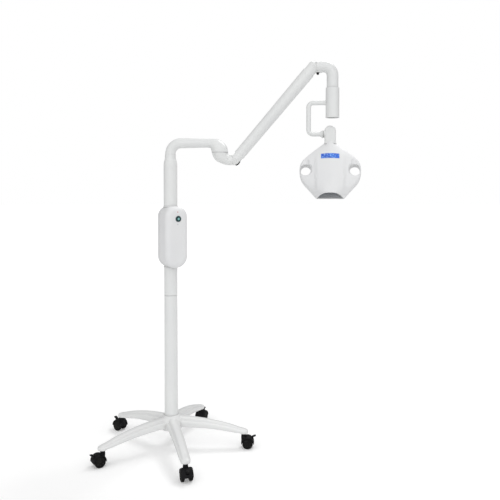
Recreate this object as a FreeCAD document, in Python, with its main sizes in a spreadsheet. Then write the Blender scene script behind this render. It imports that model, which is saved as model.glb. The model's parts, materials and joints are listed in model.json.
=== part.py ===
"""Mobile dental curing lamp: five-star caster base, column, two-part balance arm, C bracket and lamp head.

Millimetres, +Z up. The origin is on the floor below the column's axis, the arms run towards +X and the
control box faces the -Y side. Each piece is an object of the document whose Label names its STEP file.
"""

import FreeCAD, Part
import math
import os
from FreeCAD import Placement, Rotation, Vector

doc = FreeCAD.newDocument("curing_lamp")
sheet = doc.addObject("Spreadsheet::Sheet", "Sizes")

SIZES = {
    # five-star base
    "leg_reach": 272,
    "base_turn": -1,
    "hub_radius": 42,
    "hub_bottom": 72,
    "hub_top": 120,
    "socket_floor": 80,
    "tip_radius": 17.5,
    "tip_bottom": 55.5,
    "tip_top": 73.5,
    "socket_bore": 7.5,
    "socket_depth": 14.5,
    # casters
    "wheel_radius": 20,
    "wheel_width": 12.3,
    "wheel_inner": 8.2,
    "wheel_trail": 15,
    "axle_radius": 3.5,
    "hood_radius": 24.5,
    "hood_half_width": 21,
    "web_half_width": 7.5,
    "stem_radius": 5.5,
    "stem_top": 69,
    "pedal_pivot_forward": 31,
    "pedal_pivot_height": 33,
    "pedal_half_width": 5.3,
    # column
    "column_radius": 25,
    "column_wall": 3,
    "column_joint": 576,
    "column_shoulder": 1078,
    "column_top": 1100,
    "joint_gap": 0.6,
    "bolt_radius": 5,
    # control box, in its own frame with its front towards -Y
    "box_turn": 32,
    "box_half_width": 45,
    "box_front": 62,
    "box_back": 32,
    "box_bottom": 681,
    "box_top": 908,
    "box_wall": 3,
    "box_top_corner": 38,
    "box_low_corner": 44,
    "box_edge": 20,
    "button_height": 863,
    "button_offset": 2,
    "button_radius": 6.5,
    "lamp_height": 888,
    # first arm and elbow
    "arm_height": 1142,
    "arm_radius": 19,
    "arm_end_radius": 16.3,
    "arm_bend": 40,
    "arm_wall": 3,
    "arm_end": 140,
    "elbow_axis": 184.3,
    "elbow_seam": 1108.2,
    "elbow_radius": 30.5,
    "spindle_radius": 10,
    "running_gap": 0.06,
    # spring arm
    "low_pivot_out": 240,
    "low_pivot_height": 1079,
    "high_pivot_out": 529.3,
    "high_pivot_height": 1422.5,
    "spring_arm_low_radius": 20.3,
    "spring_arm_high_radius": 23.2,
    "slot_half": 11.1,
    "tongue_half": 10.8,
    "pivot_pin_radius": 5,
    "link_pin_radius": 2.5,
    "link_offset": 11,
    "link_slot_half": 3.3,
    # wrist, sleeve and bracket
    "wrist_axis": 602,
    "wrist_height": 1425.3,
    "wrist_radius": 21.5,
    "wrist_bend": 33.5,
    "spigot_radius": 17.5,
    "sleeve_radius": 25,
    "sleeve_bore": 21.5,
    "sleeve_top": 1347.4,
    "sleeve_bottom": 1236,
    "bracket_tube": 8.7,
    "bracket_reach": 88,
    "bracket_corner": 17,
    "bracket_high": 1292,
    "tilt_height": 1176,
    "head_offset": -8,
    "head_turn": -7,
    "head_tilt": 25,
    "tilt_pin_radius": 6,
    # head, in its own frame: pivot at the origin, front towards -Y, light outlet downwards
    "neck_top": 31,
    "neck_half_width": 21,
    "neck_front": 16,
    "neck_back": 17,
    "body_drop": 11,
    "plate_front": 4,
    "plate_back": 24,
    "head_split": 10,
    "shell_wall": 3,
    "head_length": 243,
    "finger_hole_radius": 18,
    "finger_hole_out": 88.5,
}
for row, (alias, value) in enumerate(SIZES.items(), start=1):
    sheet.set("A%d" % row, alias.replace("_", " "))
    sheet.set("B%d" % row, str(value))
    sheet.setAlias("B%d" % row, alias)
doc.recompute()


def size(alias):
    return float(sheet.get(alias))


X_AXIS = Vector(1, 0, 0)
Y_AXIS = Vector(0, 1, 0)
Z_AXIS = Vector(0, 0, 1)
ALONG = {
    "z": Rotation(),
    "x": Rotation(Z_AXIS * -1, Y_AXIS, X_AXIS, "XYZ"),
    "y": Rotation(X_AXIS, Z_AXIS * -1, Y_AXIS, "XYZ"),
}
nodes = []


# ---- building helpers -------------------------------------------------------------------------------------


def bind(obj, prop, value):
    """Sets a property to a number, or binds it to an expression in the sheet's aliases."""
    if isinstance(value, str):
        for alias in sorted(SIZES, key=len, reverse=True):
            value = value.replace("[" + alias + "]", "Sizes." + alias)
        obj.setExpression(prop, value)
    elif prop.startswith("Placement.Base."):
        place = obj.Placement
        setattr(place.Base, prop[-1], value)
        obj.Placement = place
    else:
        setattr(obj, prop, value)


def put(obj, at, rotation=None):
    if rotation is not None:
        obj.Placement = Placement(Vector(), rotation)
    for axis, value in zip("xyz", at):
        if value != 0:
            bind(obj, "Placement.Base." + axis, value)
    return obj


def cylinder(name, radius, height, at=(0, 0, 0), axis="z"):
    obj = doc.addObject("Part::Cylinder", name)
    bind(obj, "Radius", radius)
    bind(obj, "Height", height)
    return put(obj, at, ALONG[axis])


def cone(name, start_radius, end_radius, height, at=(0, 0, 0), axis="z"):
    obj = doc.addObject("Part::Cone", name)
    bind(obj, "Radius1", start_radius)
    bind(obj, "Radius2", end_radius)
    bind(obj, "Height", height)
    return put(obj, at, ALONG[axis])


def box(name, width, depth, height, at):
    obj = doc.addObject("Part::Box", name)
    bind(obj, "Length", width)
    bind(obj, "Width", depth)
    bind(obj, "Height", height)
    return put(obj, at)


def slab(name, low, high):
    """A box between two corners given as plain numbers."""
    return box(name, high[0] - low[0], high[1] - low[1], high[2] - low[2], low)


def sphere(name, radius, at):
    obj = doc.addObject("Part::Sphere", name)
    bind(obj, "Radius", radius)
    return put(obj, at)


def bend(name, ring, tube, at, start, end):
    """A quarter torus whose section starts in direction start from the centre and ends in direction end."""
    obj = doc.addObject("Part::Torus", name)
    bind(obj, "Radius1", ring)
    bind(obj, "Radius2", tube)
    obj.Angle3 = 90
    return put(obj, at, Rotation(start, end, start.cross(end), "XYZ"))


def fuse(name, *parts):
    obj = doc.addObject("Part::MultiFuse", name)
    obj.Shapes = list(parts)
    return obj


def cut(name, base, *tools):
    obj = doc.addObject("Part::Cut", name)
    obj.Base = base
    obj.Tool = tools[0] if len(tools) == 1 else fuse(name + "_tools", *tools)
    return obj


def common(name, base, tool):
    obj = doc.addObject("Part::Common", name)
    obj.Base = base
    obj.Tool = tool
    return obj


def group(name, *parts):
    obj = doc.addObject("Part::Compound", name)
    obj.Links = list(parts)
    return obj


def node(name, obj, place=None):
    """Names the object's STEP file and sets where the finished piece stands."""
    if place is not None and obj.TypeId == "Part::Cylinder":
        obj = group(obj.Name + "_piece", obj)
    obj.Label = name
    if place is not None:
        obj.Placement = place
    nodes.append(obj)
    return obj


def circle(name, radius, at, across):
    """A section circle whose plane holds the direction across and the Y axis."""
    obj = doc.addObject("Part::Circle", name)
    bind(obj, "Radius", radius)
    return put(obj, at, Rotation(across, Y_AXIS, across.cross(Y_AXIS), "XYZ"))


def loft(name, sections):
    obj = doc.addObject("Part::Loft", name)
    obj.Sections = sections
    obj.Solid = True
    obj.Ruled = False
    return obj


def extrusion(name, sketch, direction, forward, backward=0):
    obj = doc.addObject("Part::Extrusion", name)
    obj.Base = sketch
    obj.DirMode = "Custom"
    obj.Dir = direction
    obj.Solid = True
    bind(obj, "LengthFwd", forward)
    bind(obj, "LengthRev", backward)
    return obj


def closed_sketch(name, place, points):
    """A closed outline. points holds (x, y) corners; a (x, y, mid_x, mid_y) entry is reached by an arc."""
    sketch = doc.addObject("Sketcher::SketchObject", name)
    sketch.Placement = place
    previous = points[-1][:2]
    for point in points:
        start = Vector(previous[0], previous[1], 0)
        end = Vector(point[0], point[1], 0)
        if len(point) == 4:
            middle = Vector(point[2], point[3], 0)
            sketch.addGeometry(Part.Arc(start, middle, end), False)
        else:
            sketch.addGeometry(Part.LineSegment(start, end), False)
        previous = point[:2]
    return sketch


# ---- five-star base ---------------------------------------------------------------------------------------

LEG_COUNT = 5
LEG_SECTIONS = (  # distance out, middle height, half width, half height
    (20, 101, 22, 17),
    (80, 99.5, 21, 17),
    (126, 95, 20, 15),
    (170, 88.5, 19, 13),
    (215, 78.5, 18, 11),
    (272, 64.6, 17, 8.6),
)


def leg_angle(index):
    return 360 / LEG_COUNT * index + size("base_turn")


def leg_direction(index):
    angle = math.radians(leg_angle(index))
    return Vector(math.cos(angle), math.sin(angle), 0)


def leg(index):
    out = leg_direction(index)
    aside = Z_AXIS.cross(out)
    sections = []
    for step, (distance, height, half_width, half_height) in enumerate(LEG_SECTIONS):
        ring = doc.addObject("Part::Ellipse", "leg_%d_section_%d" % (index, step))
        ring.MajorRadius = half_width
        ring.MinorRadius = half_height
        place = out * distance + Z_AXIS * height
        ring.Placement = Placement(place, Rotation(aside, Z_AXIS, out, "XYZ"))
        sections.append(ring)
    return loft("leg_%d" % index, sections)


def around_tips(name, radius, height, start):
    """The same upright cylinder at each leg's tip."""
    made = []
    for index in range(LEG_COUNT):
        out = leg_direction(index)
        at = ("[leg_reach] * %.9f" % out.x, "[leg_reach] * %.9f" % out.y, start)
        made.append(cylinder("%s_%d" % (name, index), radius, height, at))
    return made


def make_base():
    hub = cylinder("hub", "[hub_radius]", "[hub_top] - [hub_bottom]", (0, 0, "[hub_bottom]"))
    hub_rim = cone("hub_rim", "[hub_radius]", "[column_radius] + 7", 6, (0, 0, "[hub_top]"))
    legs = [leg(index) for index in range(LEG_COUNT)]
    tips = around_tips("leg_tip", "[tip_radius]", "[tip_top] - [tip_bottom]", "[tip_bottom]")
    column_socket = cylinder("column_socket", "[column_radius]", 60, (0, 0, "[socket_floor]"))
    bolt_hole = cylinder("hub_bolt_hole", "[bolt_radius] + 0.5", 20, (0, 0, "[hub_bottom] - 5"))
    bores = around_tips("tip_bore", "[socket_bore]", "[socket_depth] + 5", "[tip_bottom] - 5")
    solid = fuse("spider_solid", hub, hub_rim, *legs, *tips)
    node("base_spider", cut("spider", solid, column_socket, bolt_hole, *bores))

    sleeves = around_tips("grip_sleeve", "[socket_bore]", "[socket_depth]", "[tip_bottom]")
    flanges = around_tips("grip_flange", "[socket_bore] + 1.5", 2, "[tip_bottom] - 2")
    holes = around_tips("grip_hole", "[stem_radius] + [running_gap]", 40, "[tip_bottom] - 10")
    sockets = []
    for index, (sleeve, flange, hole) in enumerate(zip(sleeves, flanges, holes)):
        outer = fuse("grip_outer_%d" % index, sleeve, flange)
        sockets.append(cut("grip_ring_%d" % index, outer, hole))
    node("caster_sockets", group("socket_group", *sockets))

    bolt_head = cylinder("bolt_head", "[bolt_radius] + 3.5", 7, (0, 0, "[hub_bottom] - 7"))
    bolt_shank = cylinder("bolt_shank", "[bolt_radius]", 17, (0, 0, "[hub_bottom] - 1"))
    node("hub_bolt", fuse("bolt", bolt_head, bolt_shank))


# ---- casters: own frame with the stem on the Z axis and the wheels trailing towards +X --------------------


def caster_place(index):
    return Placement(leg_direction(index) * size("leg_reach"), Rotation(Z_AXIS, leg_angle(index)))


def make_hood(index):
    n = "c%d_" % index
    trail = "[wheel_trail]"
    half = "[hood_half_width]"
    axle_at = (trail, "-" + half, "[wheel_radius]")
    round_top = cylinder(n + "round", "[hood_radius]", half + " * 2", axle_at, "y")
    upper = slab(n + "upper", (-30, -40, 19), (70, 40, 60))
    cover = common(n + "cover", round_top, upper)
    web_at = (trail, "-[web_half_width]", "[wheel_radius]")
    web = cylinder(n + "web", 9, "[web_half_width] * 2", web_at, "y")
    boss = cylinder(n + "boss", 9, 31, (0, 0, 19))
    bridge = slab(n + "bridge", (0, -9, 19), (15, 9, 43))
    solid = fuse(n + "solid", cover, web, boss, bridge)
    pocket_radius = "[wheel_radius] + 1.2"
    left = cylinder(n + "left_pocket", pocket_radius, 30, (trail, "[web_half_width]", "[wheel_radius]"), "y")
    right_at = (trail, "-[web_half_width] - 30", "[wheel_radius]")
    right = cylinder(n + "right_pocket", pocket_radius, 30, right_at, "y")
    axle_hole = cylinder(n + "axle_hole", "[axle_radius] + [running_gap]", 60,
                         (trail, -30, "[wheel_radius]"), "y")
    slot = slab(n + "pedal_slot", (27.5, -5.5, 29.5), (50, 5.5, 52))
    pin_at = ("[pedal_pivot_forward]", -8, "[pedal_pivot_height]")
    pin_hole = cylinder(n + "trunnion_hole", 1.56, 16, pin_at, "y")
    hood = cut(n + "hood", solid, left, right, axle_hole, slot, pin_hole)
    stem = cylinder(n + "stem", "[stem_radius]", "[stem_top] - 40", (0, 0, 40))
    collar = cylinder(n + "collar", "[stem_radius] + 2.5", 3.4, (0, 0, 50))
    node("caster_%d_hood" % index, fuse(n + "hood_and_stem", hood, stem, collar), caster_place(index))


def make_wheels(index):
    n = "c%d_" % index
    made = []
    for side, start in (("left", "[wheel_inner]"), ("right", "-[wheel_inner] - [wheel_width]")):
        tread = cylinder(n + side + "_tread", "[wheel_radius]", "[wheel_width] - 4",
                         ("[wheel_trail]", start + " + 2", "[wheel_radius]"), "y")
        near = cone(n + side + "_near", "[wheel_radius] - 1.6", "[wheel_radius]", 2,
                    ("[wheel_trail]", start, "[wheel_radius]"), "y")
        far = cone(n + side + "_far", "[wheel_radius]", "[wheel_radius] - 1.6", 2,
                   ("[wheel_trail]", start + " + [wheel_width] - 2", "[wheel_radius]"), "y")
        made.append(fuse(n + side + "_wheel", tread, near, far))
    reach = "([wheel_inner] + [wheel_width])"
    axle = cylinder(n + "axle", "[axle_radius]", reach + " * 2",
                    ("[wheel_trail]", "-" + reach, "[wheel_radius]"), "y")
    node("caster_%d_wheels" % index, fuse(n + "wheelset", *made, axle), caster_place(index))


def make_pedal(index):
    n = "c%d_" % index
    half = "[pedal_half_width]"
    pivot = ("[pedal_pivot_forward]", "-" + half, "[pedal_pivot_height]")
    knuckle = cylinder(n + "knuckle", 3.4, half + " * 2", pivot, "y")
    side = Placement(Vector(), Rotation(X_AXIS, Z_AXIS, Y_AXIS * -1, "XYZ"))
    outline = [(28.4, 34.6), (31.5, 43.5), (34.5, 46, 32.4, 45.4), (46, 48), (46.6, 44.2, 47.9, 46.3),
               (38, 42), (34.3, 33.6, 35, 38.5)]
    profile = closed_sketch(n + "lever_outline", side, outline)
    lever = extrusion(n + "lever", profile, Y_AXIS, half, half)
    pin = cylinder(n + "trunnion", 1.5, 14.8, ("[pedal_pivot_forward]", -7.4, "[pedal_pivot_height]"), "y")
    node("caster_%d_pedal" % index, fuse(n + "pedal", knuckle, lever, pin), caster_place(index))


# ---- column -----------------------------------------------------------------------------------------------


def make_column():
    wall = "[column_radius] - [column_wall]"
    outer = cylinder("lower_outer", "[column_radius]", "[column_joint] - [joint_gap] / 2 - [socket_floor]",
                     (0, 0, "[socket_floor]"))
    inner = cylinder("lower_inner", wall, 600, (0, 0, "[socket_floor] + 12"))
    thread = cylinder("column_thread", "[bolt_radius]", 20, (0, 0, "[socket_floor] - 4"))
    node("lower_column", cut("lower_tube", outer, inner, thread))

    joint = "[column_joint] + [joint_gap] / 2"
    upper = cylinder("upper_outer", "[column_radius]", "[column_shoulder] - (" + joint + ")", (0, 0, joint))
    shoulder = cone("shoulder", "[column_radius]", "[column_radius] - 4", "[column_top] - [column_shoulder]",
                    (0, 0, "[column_shoulder]"))
    spigot = cylinder("column_spigot", wall, 86, (0, 0, "[column_joint] - 40"))
    spigot_bore = cylinder("spigot_bore", wall + " - 3", 700, (0, 0, "[column_joint] - 50"))
    tube_bore = cylinder("tube_bore", wall, "[column_shoulder] - [column_joint] - 46",
                         (0, 0, "[column_joint] + 46"))
    solid = fuse("upper_solid", upper, shoulder, spigot)
    node("upper_column", cut("upper_tube", solid, spigot_bore, tube_bore,
                             cylinder("mouth", "[arm_radius] + 0.3", 60, (0, 0, "[column_shoulder] - 5"))))

    running = "[arm_radius] + [running_gap]"
    cup = cylinder("cup_outer", wall, 35, (0, 0, 950))
    cup_bore = cylinder("cup_bore", running, 40, (0, 0, 956))
    top = cylinder("top_bush_outer", wall, 28, (0, 0, "[column_shoulder] - 28"))
    top_bore = cylinder("top_bush_bore", running, 40, (0, 0, "[column_shoulder] - 34"))
    bushes = group("bush_group", cut("cup_bush", cup, cup_bore), cut("top_bush", top, top_bore))
    node("swivel_bushes", bushes)


# ---- control box: own frame with the column on the Z axis, turned as a whole ------------------------------


def rounded_box(name, inset):
    """The box's outer form less an inset, with round corners and softer top and bottom edges."""
    half = "[box_half_width] - %g" % inset
    block = box(name + "_block", "(" + half + ") * 2", "[box_front] + [box_back] - %g" % (2 * inset),
                "[box_top] - [box_bottom] - %g" % (2 * inset),
                ("-(" + half + ")", "-[box_front] + %g" % inset, "[box_bottom] + %g" % inset))
    middle = (size("box_top") + size("box_bottom")) / 2

    def along_depth(edge, upper):
        level = edge.CenterOfMass.z > middle
        return level == upper and abs(edge.tangentAt(edge.FirstParameter).y) > 0.9

    top = fillet(name + "_top", block, size("box_top_corner") - inset, lambda edge: along_depth(edge, True))
    ends = fillet(name + "_ends", top, size("box_low_corner") - inset, lambda edge: along_depth(edge, False))
    return fillet(name + "_rounded", ends, size("box_edge") - inset,
                  lambda edge: abs(edge.tangentAt(edge.FirstParameter).y) < 0.1)


def fillet(name, base, radius, chosen):
    """Rounds the chosen edges of an object that holds only plain numbers so far."""
    doc.recompute()
    obj = doc.addObject("Part::Fillet", name)
    obj.Base = base
    obj.Edges = [(i, radius, radius) for i, edge in enumerate(base.Shape.Edges, start=1) if chosen(edge)]
    return obj


def make_box():
    place = Placement(Vector(), Rotation(Z_AXIS, size("box_turn")))
    shell = cut("box_shell", rounded_box("box_outer", 0), rounded_box("box_inner", size("box_wall")))
    front_bosses, back_bosses, shanks, heads = [], [], [], []
    clear_holes, head_holes = [], []
    for i, (across, height) in enumerate(((-30, 712), (30, 712), (-30, 884), (30, 884))):
        front_bosses.append(cylinder("front_boss_%d" % i, 4.5, 55.1, (across, -55.5, height), "y"))
        back_bosses.append(cylinder("back_boss_%d" % i, 4.5, 25.1, (across, 0.4, height), "y"))
        shanks.append(cylinder("box_screw_shank_%d" % i, 1.6, 27, (across, -12.5, height), "y"))
        heads.append(cylinder("box_screw_head_%d" % i, 3.2, 2.6, (across, 14, height), "y"))
        clear_holes.append(cylinder("box_screw_hole_%d" % i, 1.6, 30, (across, -12.5, height), "y"))
        head_holes.append(cylinder("box_head_hole_%d" % i, 3.4, 30, (across, 14, height), "y"))
    column = cylinder("box_column_hole", "[column_radius]", 400, (0, 0, "[box_bottom] - 60"))
    seam = 0.4
    ahead = slab("ahead", (-80, -90, 650), (80, -seam, 950))
    behind = slab("behind", (-80, seam, 650), (80, 90, 950))

    front = fuse("front_solid", common("front_half", shell, ahead), *front_bosses)
    button_axis = ("[button_offset]", -70, "[button_height]")
    openings = [
        cylinder("bezel_hole", 9.5, 20, button_axis, "y"),
        cylinder("lamp_hole", 2, 20, (0, -70, "[lamp_height]"), "y"),
        slab("inlet_hole", (38, -27.5, 740), (50, -8.5, 766)),
    ]
    node("box_front_shell", cut("front_shell", front, column, *openings, *clear_holes), place)
    back = fuse("back_solid", common("back_half", shell, behind), *back_bosses)
    node("box_rear_shell", cut("rear_shell", back, column, *clear_holes, *head_holes), place)
    screws = [fuse("box_screw_%d" % i, shank, head) for i, (shank, head) in enumerate(zip(shanks, heads))]
    node("box_screws", group("box_screw_group", *screws), place)

    flange = cylinder("bezel_flange", 11.2, 2.5,
                      ("[button_offset]", "-[box_front] - 2.5", "[button_height]"), "y")
    barrel = cylinder("bezel_barrel", 9.5, 5, ("[button_offset]", "-[box_front]", "[button_height]"), "y")
    bore = cylinder("bezel_bore", "[button_radius] + [running_gap]", 20, button_axis, "y")
    node("button_bezel", cut("bezel", fuse("bezel_solid", flange, barrel), bore), place)
    cap = cylinder("cap", "[button_radius]", 7.5,
                   ("[button_offset]", "-[box_front] - 4", "[button_height]"), "y")
    node("power_button", cap, place)
    node("status_lamp", cylinder("lamp", 2, 5, (0, "-[box_front] - 0.8", "[lamp_height]"), "y"), place)

    board = fuse("boards", slab("board", (-26, -54, 800), (26, -52.4, 878)),
                 slab("board_tongue", (-16, -54, 872), (16, -52.4, 892)))
    switch = cylinder("switch", 4.5, 2.1, ("[button_offset]", -56.1, "[button_height]"), "y")
    diode = cylinder("diode", 1.8, 3.8, (0, -57.8, "[lamp_height]"), "y")
    chips = [slab("chip_%d" % i, (x, -52.4, z), (x + 12, -49.5, z + 9))
             for i, (x, z) in enumerate(((-22, 817), (6, 814), (-8, 840), (-20, 864)))]
    standoffs = [cylinder("board_post_%d" % i, 2.2, 5, (x, -59, z), "y")
                 for i, (x, z) in enumerate(((-16, 805), (16, 805), (-16, 874), (16, 874)))]
    node("control_board", fuse("board_solid", board, switch, diode, *chips, *standoffs), place)
    supply = slab("supply", (-29, -55, 720), (29, -29, 792))
    legs = [cylinder("supply_post_%d" % i, 3, 4, (x, -59, z), "y")
            for i, (x, z) in enumerate(((-15, 730), (15, 730), (-15, 782), (15, 782)))]
    node("power_supply", fuse("supply_solid", supply, *legs), place)
    inlet = fuse("inlet_solid", slab("inlet_body", (26.5, -27.5, 740), (46, -8.5, 766)),
                 slab("inlet_flange", (45, -28.5, 736), (47, -7.5, 770)))
    recess = slab("inlet_recess", (31, -26, 742), (50, -10, 764))
    blades = [slab("blade_%d" % i, (30, -20, z - 1), (42, -16, z + 1)) for i, z in enumerate((746, 753, 760))]
    node("mains_inlet", fuse("inlet", cut("inlet_shell", inlet, recess), *blades), place)


# ---- first arm and the vertical swivel at its end ---------------------------------------------------------


def make_first_arm():
    out_from = "[arm_height] - [arm_bend]"
    outer, inner = [], []
    for made, thinner, n in ((outer, 0, "arm_outer"), (inner, size("arm_wall"), "arm_inner")):
        radius = "[arm_radius] - %g" % thinner
        made.append(cylinder(n + "_spigot", radius, out_from + " - 956.1", (0, 0, 956.1)))
        made.append(bend(n + "_bend", "[arm_bend]", radius, ("[arm_bend]", 0, out_from), X_AXIS * -1, Z_AXIS))
        made.append(cone(n + "_run", radius, "[arm_end_radius] - %g" % thinner,
                         "[arm_end] - [arm_bend] - %g" % (thinner * 2), ("[arm_bend]", 0, "[arm_height]"), "x"))
    outer.append(cylinder("arm_plug", 12, 22, ("[arm_end] - 1", 0, "[arm_height]"), "x"))
    node("first_arm_tube", cut("first_arm", fuse("first_arm_solid", *outer), *inner))

    rings = [
        circle("elbow_a", 16.5, ("[arm_end]", 0, "[arm_height]"), Z_AXIS),
        circle("elbow_b", 17.2, (150, 0, 1140.4), Z_AXIS),
        circle("elbow_c", 24.2, (168, 0, 1135.5), Vector(0.744, 0, 0.668)),
        circle("elbow_d", 29, (180.5, 0, 1122), Vector(0.945, 0, 0.327)),
        circle("elbow_e", "[elbow_radius]", ("[elbow_axis]", 0, "[elbow_seam]"), X_AXIS),
    ]
    socket = cylinder("elbow_socket", 12, 25, ("[arm_end] - 4", 0, "[arm_height]"), "x")
    bush_bore = cylinder("elbow_bush_bore", "[spindle_radius] + 2", 33,
                         ("[elbow_axis]", 0, "[elbow_seam] - 5"))
    node("top_elbow", cut("top_elbow_casting", loft("top_elbow_solid", rings), socket, bush_bore))

    sleeve = cylinder("elbow_bush_sleeve", "[spindle_radius] + 2", 28, ("[elbow_axis]", 0, "[elbow_seam]"))
    flange = cylinder("elbow_bush_flange", "[elbow_radius] - 0.6", 0.9,
                      ("[elbow_axis]", 0, "[elbow_seam] - 0.9"))
    bore = cylinder("elbow_bush_hole", "[spindle_radius] + [running_gap]", 27,
                    ("[elbow_axis]", 0, "[elbow_seam] - 1"))
    node("elbow_bush", cut("elbow_bush_part", fuse("elbow_bush_solid", sleeve, flange), bore))


def link_pivot(out, height):
    """The parallel link's pivot beside a main pivot, the same offset at both ends of the arm."""
    angle = math.radians(-70)
    return (out + size("link_offset") * math.cos(angle), height + size("link_offset") * math.sin(angle))


def sector(name, inner, outer, half, at, start, sweep):
    """A ring sector about the Y axis from the angle start, measured from +X towards +Z."""
    turn = Rotation(Y_AXIS, -start) * Rotation(X_AXIS, 90)
    made = []
    for n, radius in ((name + "_outer", outer), (name + "_inner", inner)):
        obj = doc.addObject("Part::Cylinder", n)
        obj.Radius = radius
        obj.Height = 2 * half
        obj.Angle = sweep
        obj.Placement = Placement(Vector(at[0], half, at[1]), turn)
        made.append(obj)
    return cut(name, *made)


def arm_pitch():
    """The spring arm's angle above the horizon."""
    along = arm_vector()[1]
    return math.degrees(math.atan2(along.z, along.x))


def pivot_room(name, radius, at, angle):
    """The room that the arm's round end needs at a pivot, with its tube leaving at the given angle."""
    direction = Vector(math.cos(math.radians(angle)), 0, math.sin(math.radians(angle)))
    tube = doc.addObject("Part::Cylinder", name + "_tube")
    tube.Radius = radius
    tube.Height = 60
    centre = Vector(at[0], 0, at[1])
    tube.Placement = Placement(centre, Rotation(Y_AXIS.cross(direction), Y_AXIS, direction, "XYZ"))
    return fuse(name, sphere(name + "_ball", radius, (at[0], 0, at[1])), tube)


def make_lower_elbow():
    out, height = size("low_pivot_out"), size("low_pivot_height")
    link_out, link_height = link_pivot(out, height)
    rings = [
        circle("low_a", "[elbow_radius]", ("[elbow_axis]", 0, "[elbow_seam] - 1"), X_AXIS),
        circle("low_b", 28, (187, 0, 1097), Vector(0.985, 0, 0.17)),
        circle("low_c", 25.2, (193.5, 0, 1088.2), Vector(0.893, 0, 0.45)),
        circle("low_d", 21, (205.5, 0, 1082), Vector(0.683, 0, 0.73)),
        circle("low_e", 18.9, (218, 0, 1079.6), Vector(0.12, 0, 0.993)),
        circle("low_f", 18.7, (230, 0, 1079.2), Z_AXIS),
    ]
    steepest = pivot_room("low_room", size("spring_arm_low_radius") + 0.5, (out, height), arm_pitch() + 12)
    shell = cut("low_cup", loft("lower_elbow_loft", rings), steepest)
    half = "[tongue_half]"
    tongue = cylinder("low_tongue_round", 18.3, half + " * 2",
                      ("[low_pivot_out]", "-" + half, "[low_pivot_height]"), "y")
    neck = box("low_tongue_neck", 26, half + " * 2", 36.6, (214, "-" + half, "[low_pivot_height] - 18.3"))
    spindle = cylinder("spindle", "[spindle_radius]", 30, ("[elbow_axis]", 0, 1103))
    solid = fuse("lower_elbow_solid", shell, tongue, neck, spindle)
    pin_bore = cylinder("low_pin_bore", "[pivot_pin_radius] + [running_gap]", 60,
                        ("[low_pivot_out]", -30, "[low_pivot_height]"), "y")
    link_slot = box("low_link_slot", 40, "[link_slot_half] * 2", 60,
                    ("[low_pivot_out] - 3.5", "-[link_slot_half]", "[low_pivot_height] - 30"))
    link_bore = cylinder("low_link_bore", "[link_pin_radius]", 60, (link_out, -30, link_height), "y")
    pad_seat = sector("low_pad_seat", 15.3, 21, 12, (out, height), -80, 68)
    node("lower_elbow", cut("lower_elbow_casting", solid, pin_bore, link_slot, link_bore, pad_seat))

    pad = sector("low_pad", 15.3, 20.4, size("tongue_half"), (out, height), -80, 68)
    pad_gap = box("low_pad_gap", 40, "[link_slot_half] * 2", 60,
                  ("[low_pivot_out] - 3.5", "-[link_slot_half]", "[low_pivot_height] - 30"))
    node("lower_bumper", cut("low_bumper", pad, pad_gap))
    node("lower_link_pin", cylinder("low_link_pin", "[link_pin_radius]", "[tongue_half] * 2",
                                    (link_out, "-[tongue_half]", link_height), "y"))


# ---- spring arm: own frame with the low pivot at the origin and the high pivot along +X -------------------


def arm_vector():
    low = Vector(size("low_pivot_out"), 0, size("low_pivot_height"))
    high = Vector(size("high_pivot_out"), 0, size("high_pivot_height"))
    return low, high - low


def arm_place():
    return Placement(arm_vector()[0], Rotation(Y_AXIS, -arm_pitch()))


def make_spring_arm():
    length = arm_vector()[1].Length
    place = arm_place()
    low, high = "[spring_arm_low_radius]", "[spring_arm_high_radius]"
    tube = cone("spring_tube", low, high, length, (0, 0, 0), "x")
    low_end, high_end = sphere("low_end", low, (0, 0, 0)), sphere("high_end", high, (length, 0, 0))
    solid = fuse("spring_arm_solid", tube, low_end, high_end)
    hollow = cone("spring_hollow", low + " - 3", high + " - 3", length - 50, (24, 0, 0), "x")
    low_slot = box("low_slot", 54, "[slot_half] * 2", 60, (-30, "-[slot_half]", -30))
    high_slot = box("high_slot", 60, "[slot_half] * 2", 60, (length - 26, "-[slot_half]", -30))
    low_hole = cylinder("low_pin_hole", "[pivot_pin_radius]", 60, (0, -30, 0), "y")
    high_hole = cylinder("high_pin_hole", "[pivot_pin_radius]", 60, (length, -30, 0), "y")
    node("spring_arm_tube", cut("spring_arm", solid, hollow, low_slot, high_slot, low_hole, high_hole), place)
    node("lower_pivot_pin", cylinder("low_pin", "[pivot_pin_radius]", 35, (0, -17.5, 0), "y"), place)
    node("upper_pivot_pin", cylinder("high_pin", "[pivot_pin_radius]", 41, (length, -20.5, 0), "y"), place)

    # the balance spring: a close helix round its draw rod, above the parallel link
    coil_radius, wire, pitch, coil_length, lift, start = 7.0, 1.3, 8.0, 192.0, 5.0, 62.0
    helix = Part.makeHelix(pitch, coil_length, coil_radius)
    section = Part.Wire(Part.makeCircle(wire, Vector(coil_radius, 0, 0), Y_AXIS))
    coil = Part.Wire(helix).makePipeShell([section], True, True)
    spring = doc.addObject("Part::Feature", "coil_spring")
    spring.Shape = coil
    along_arm = Placement(Vector(start, 0, lift), ALONG["x"])
    node("balance_spring", spring, place.multiply(along_arm))
    rod = cylinder("draw_rod", 3, coil_length + 30, (start - 24, 0, lift), "x")
    disc = cylinder("spring_disc", 8.2, 4, (start + coil_length + 2, 0, lift), "x")
    seat = cylinder("spring_seat", 8.2, 4, (start - 6, 0, lift), "x")
    node("spring_rod", fuse("spring_rod_part", rod, disc, seat), place)


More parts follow.
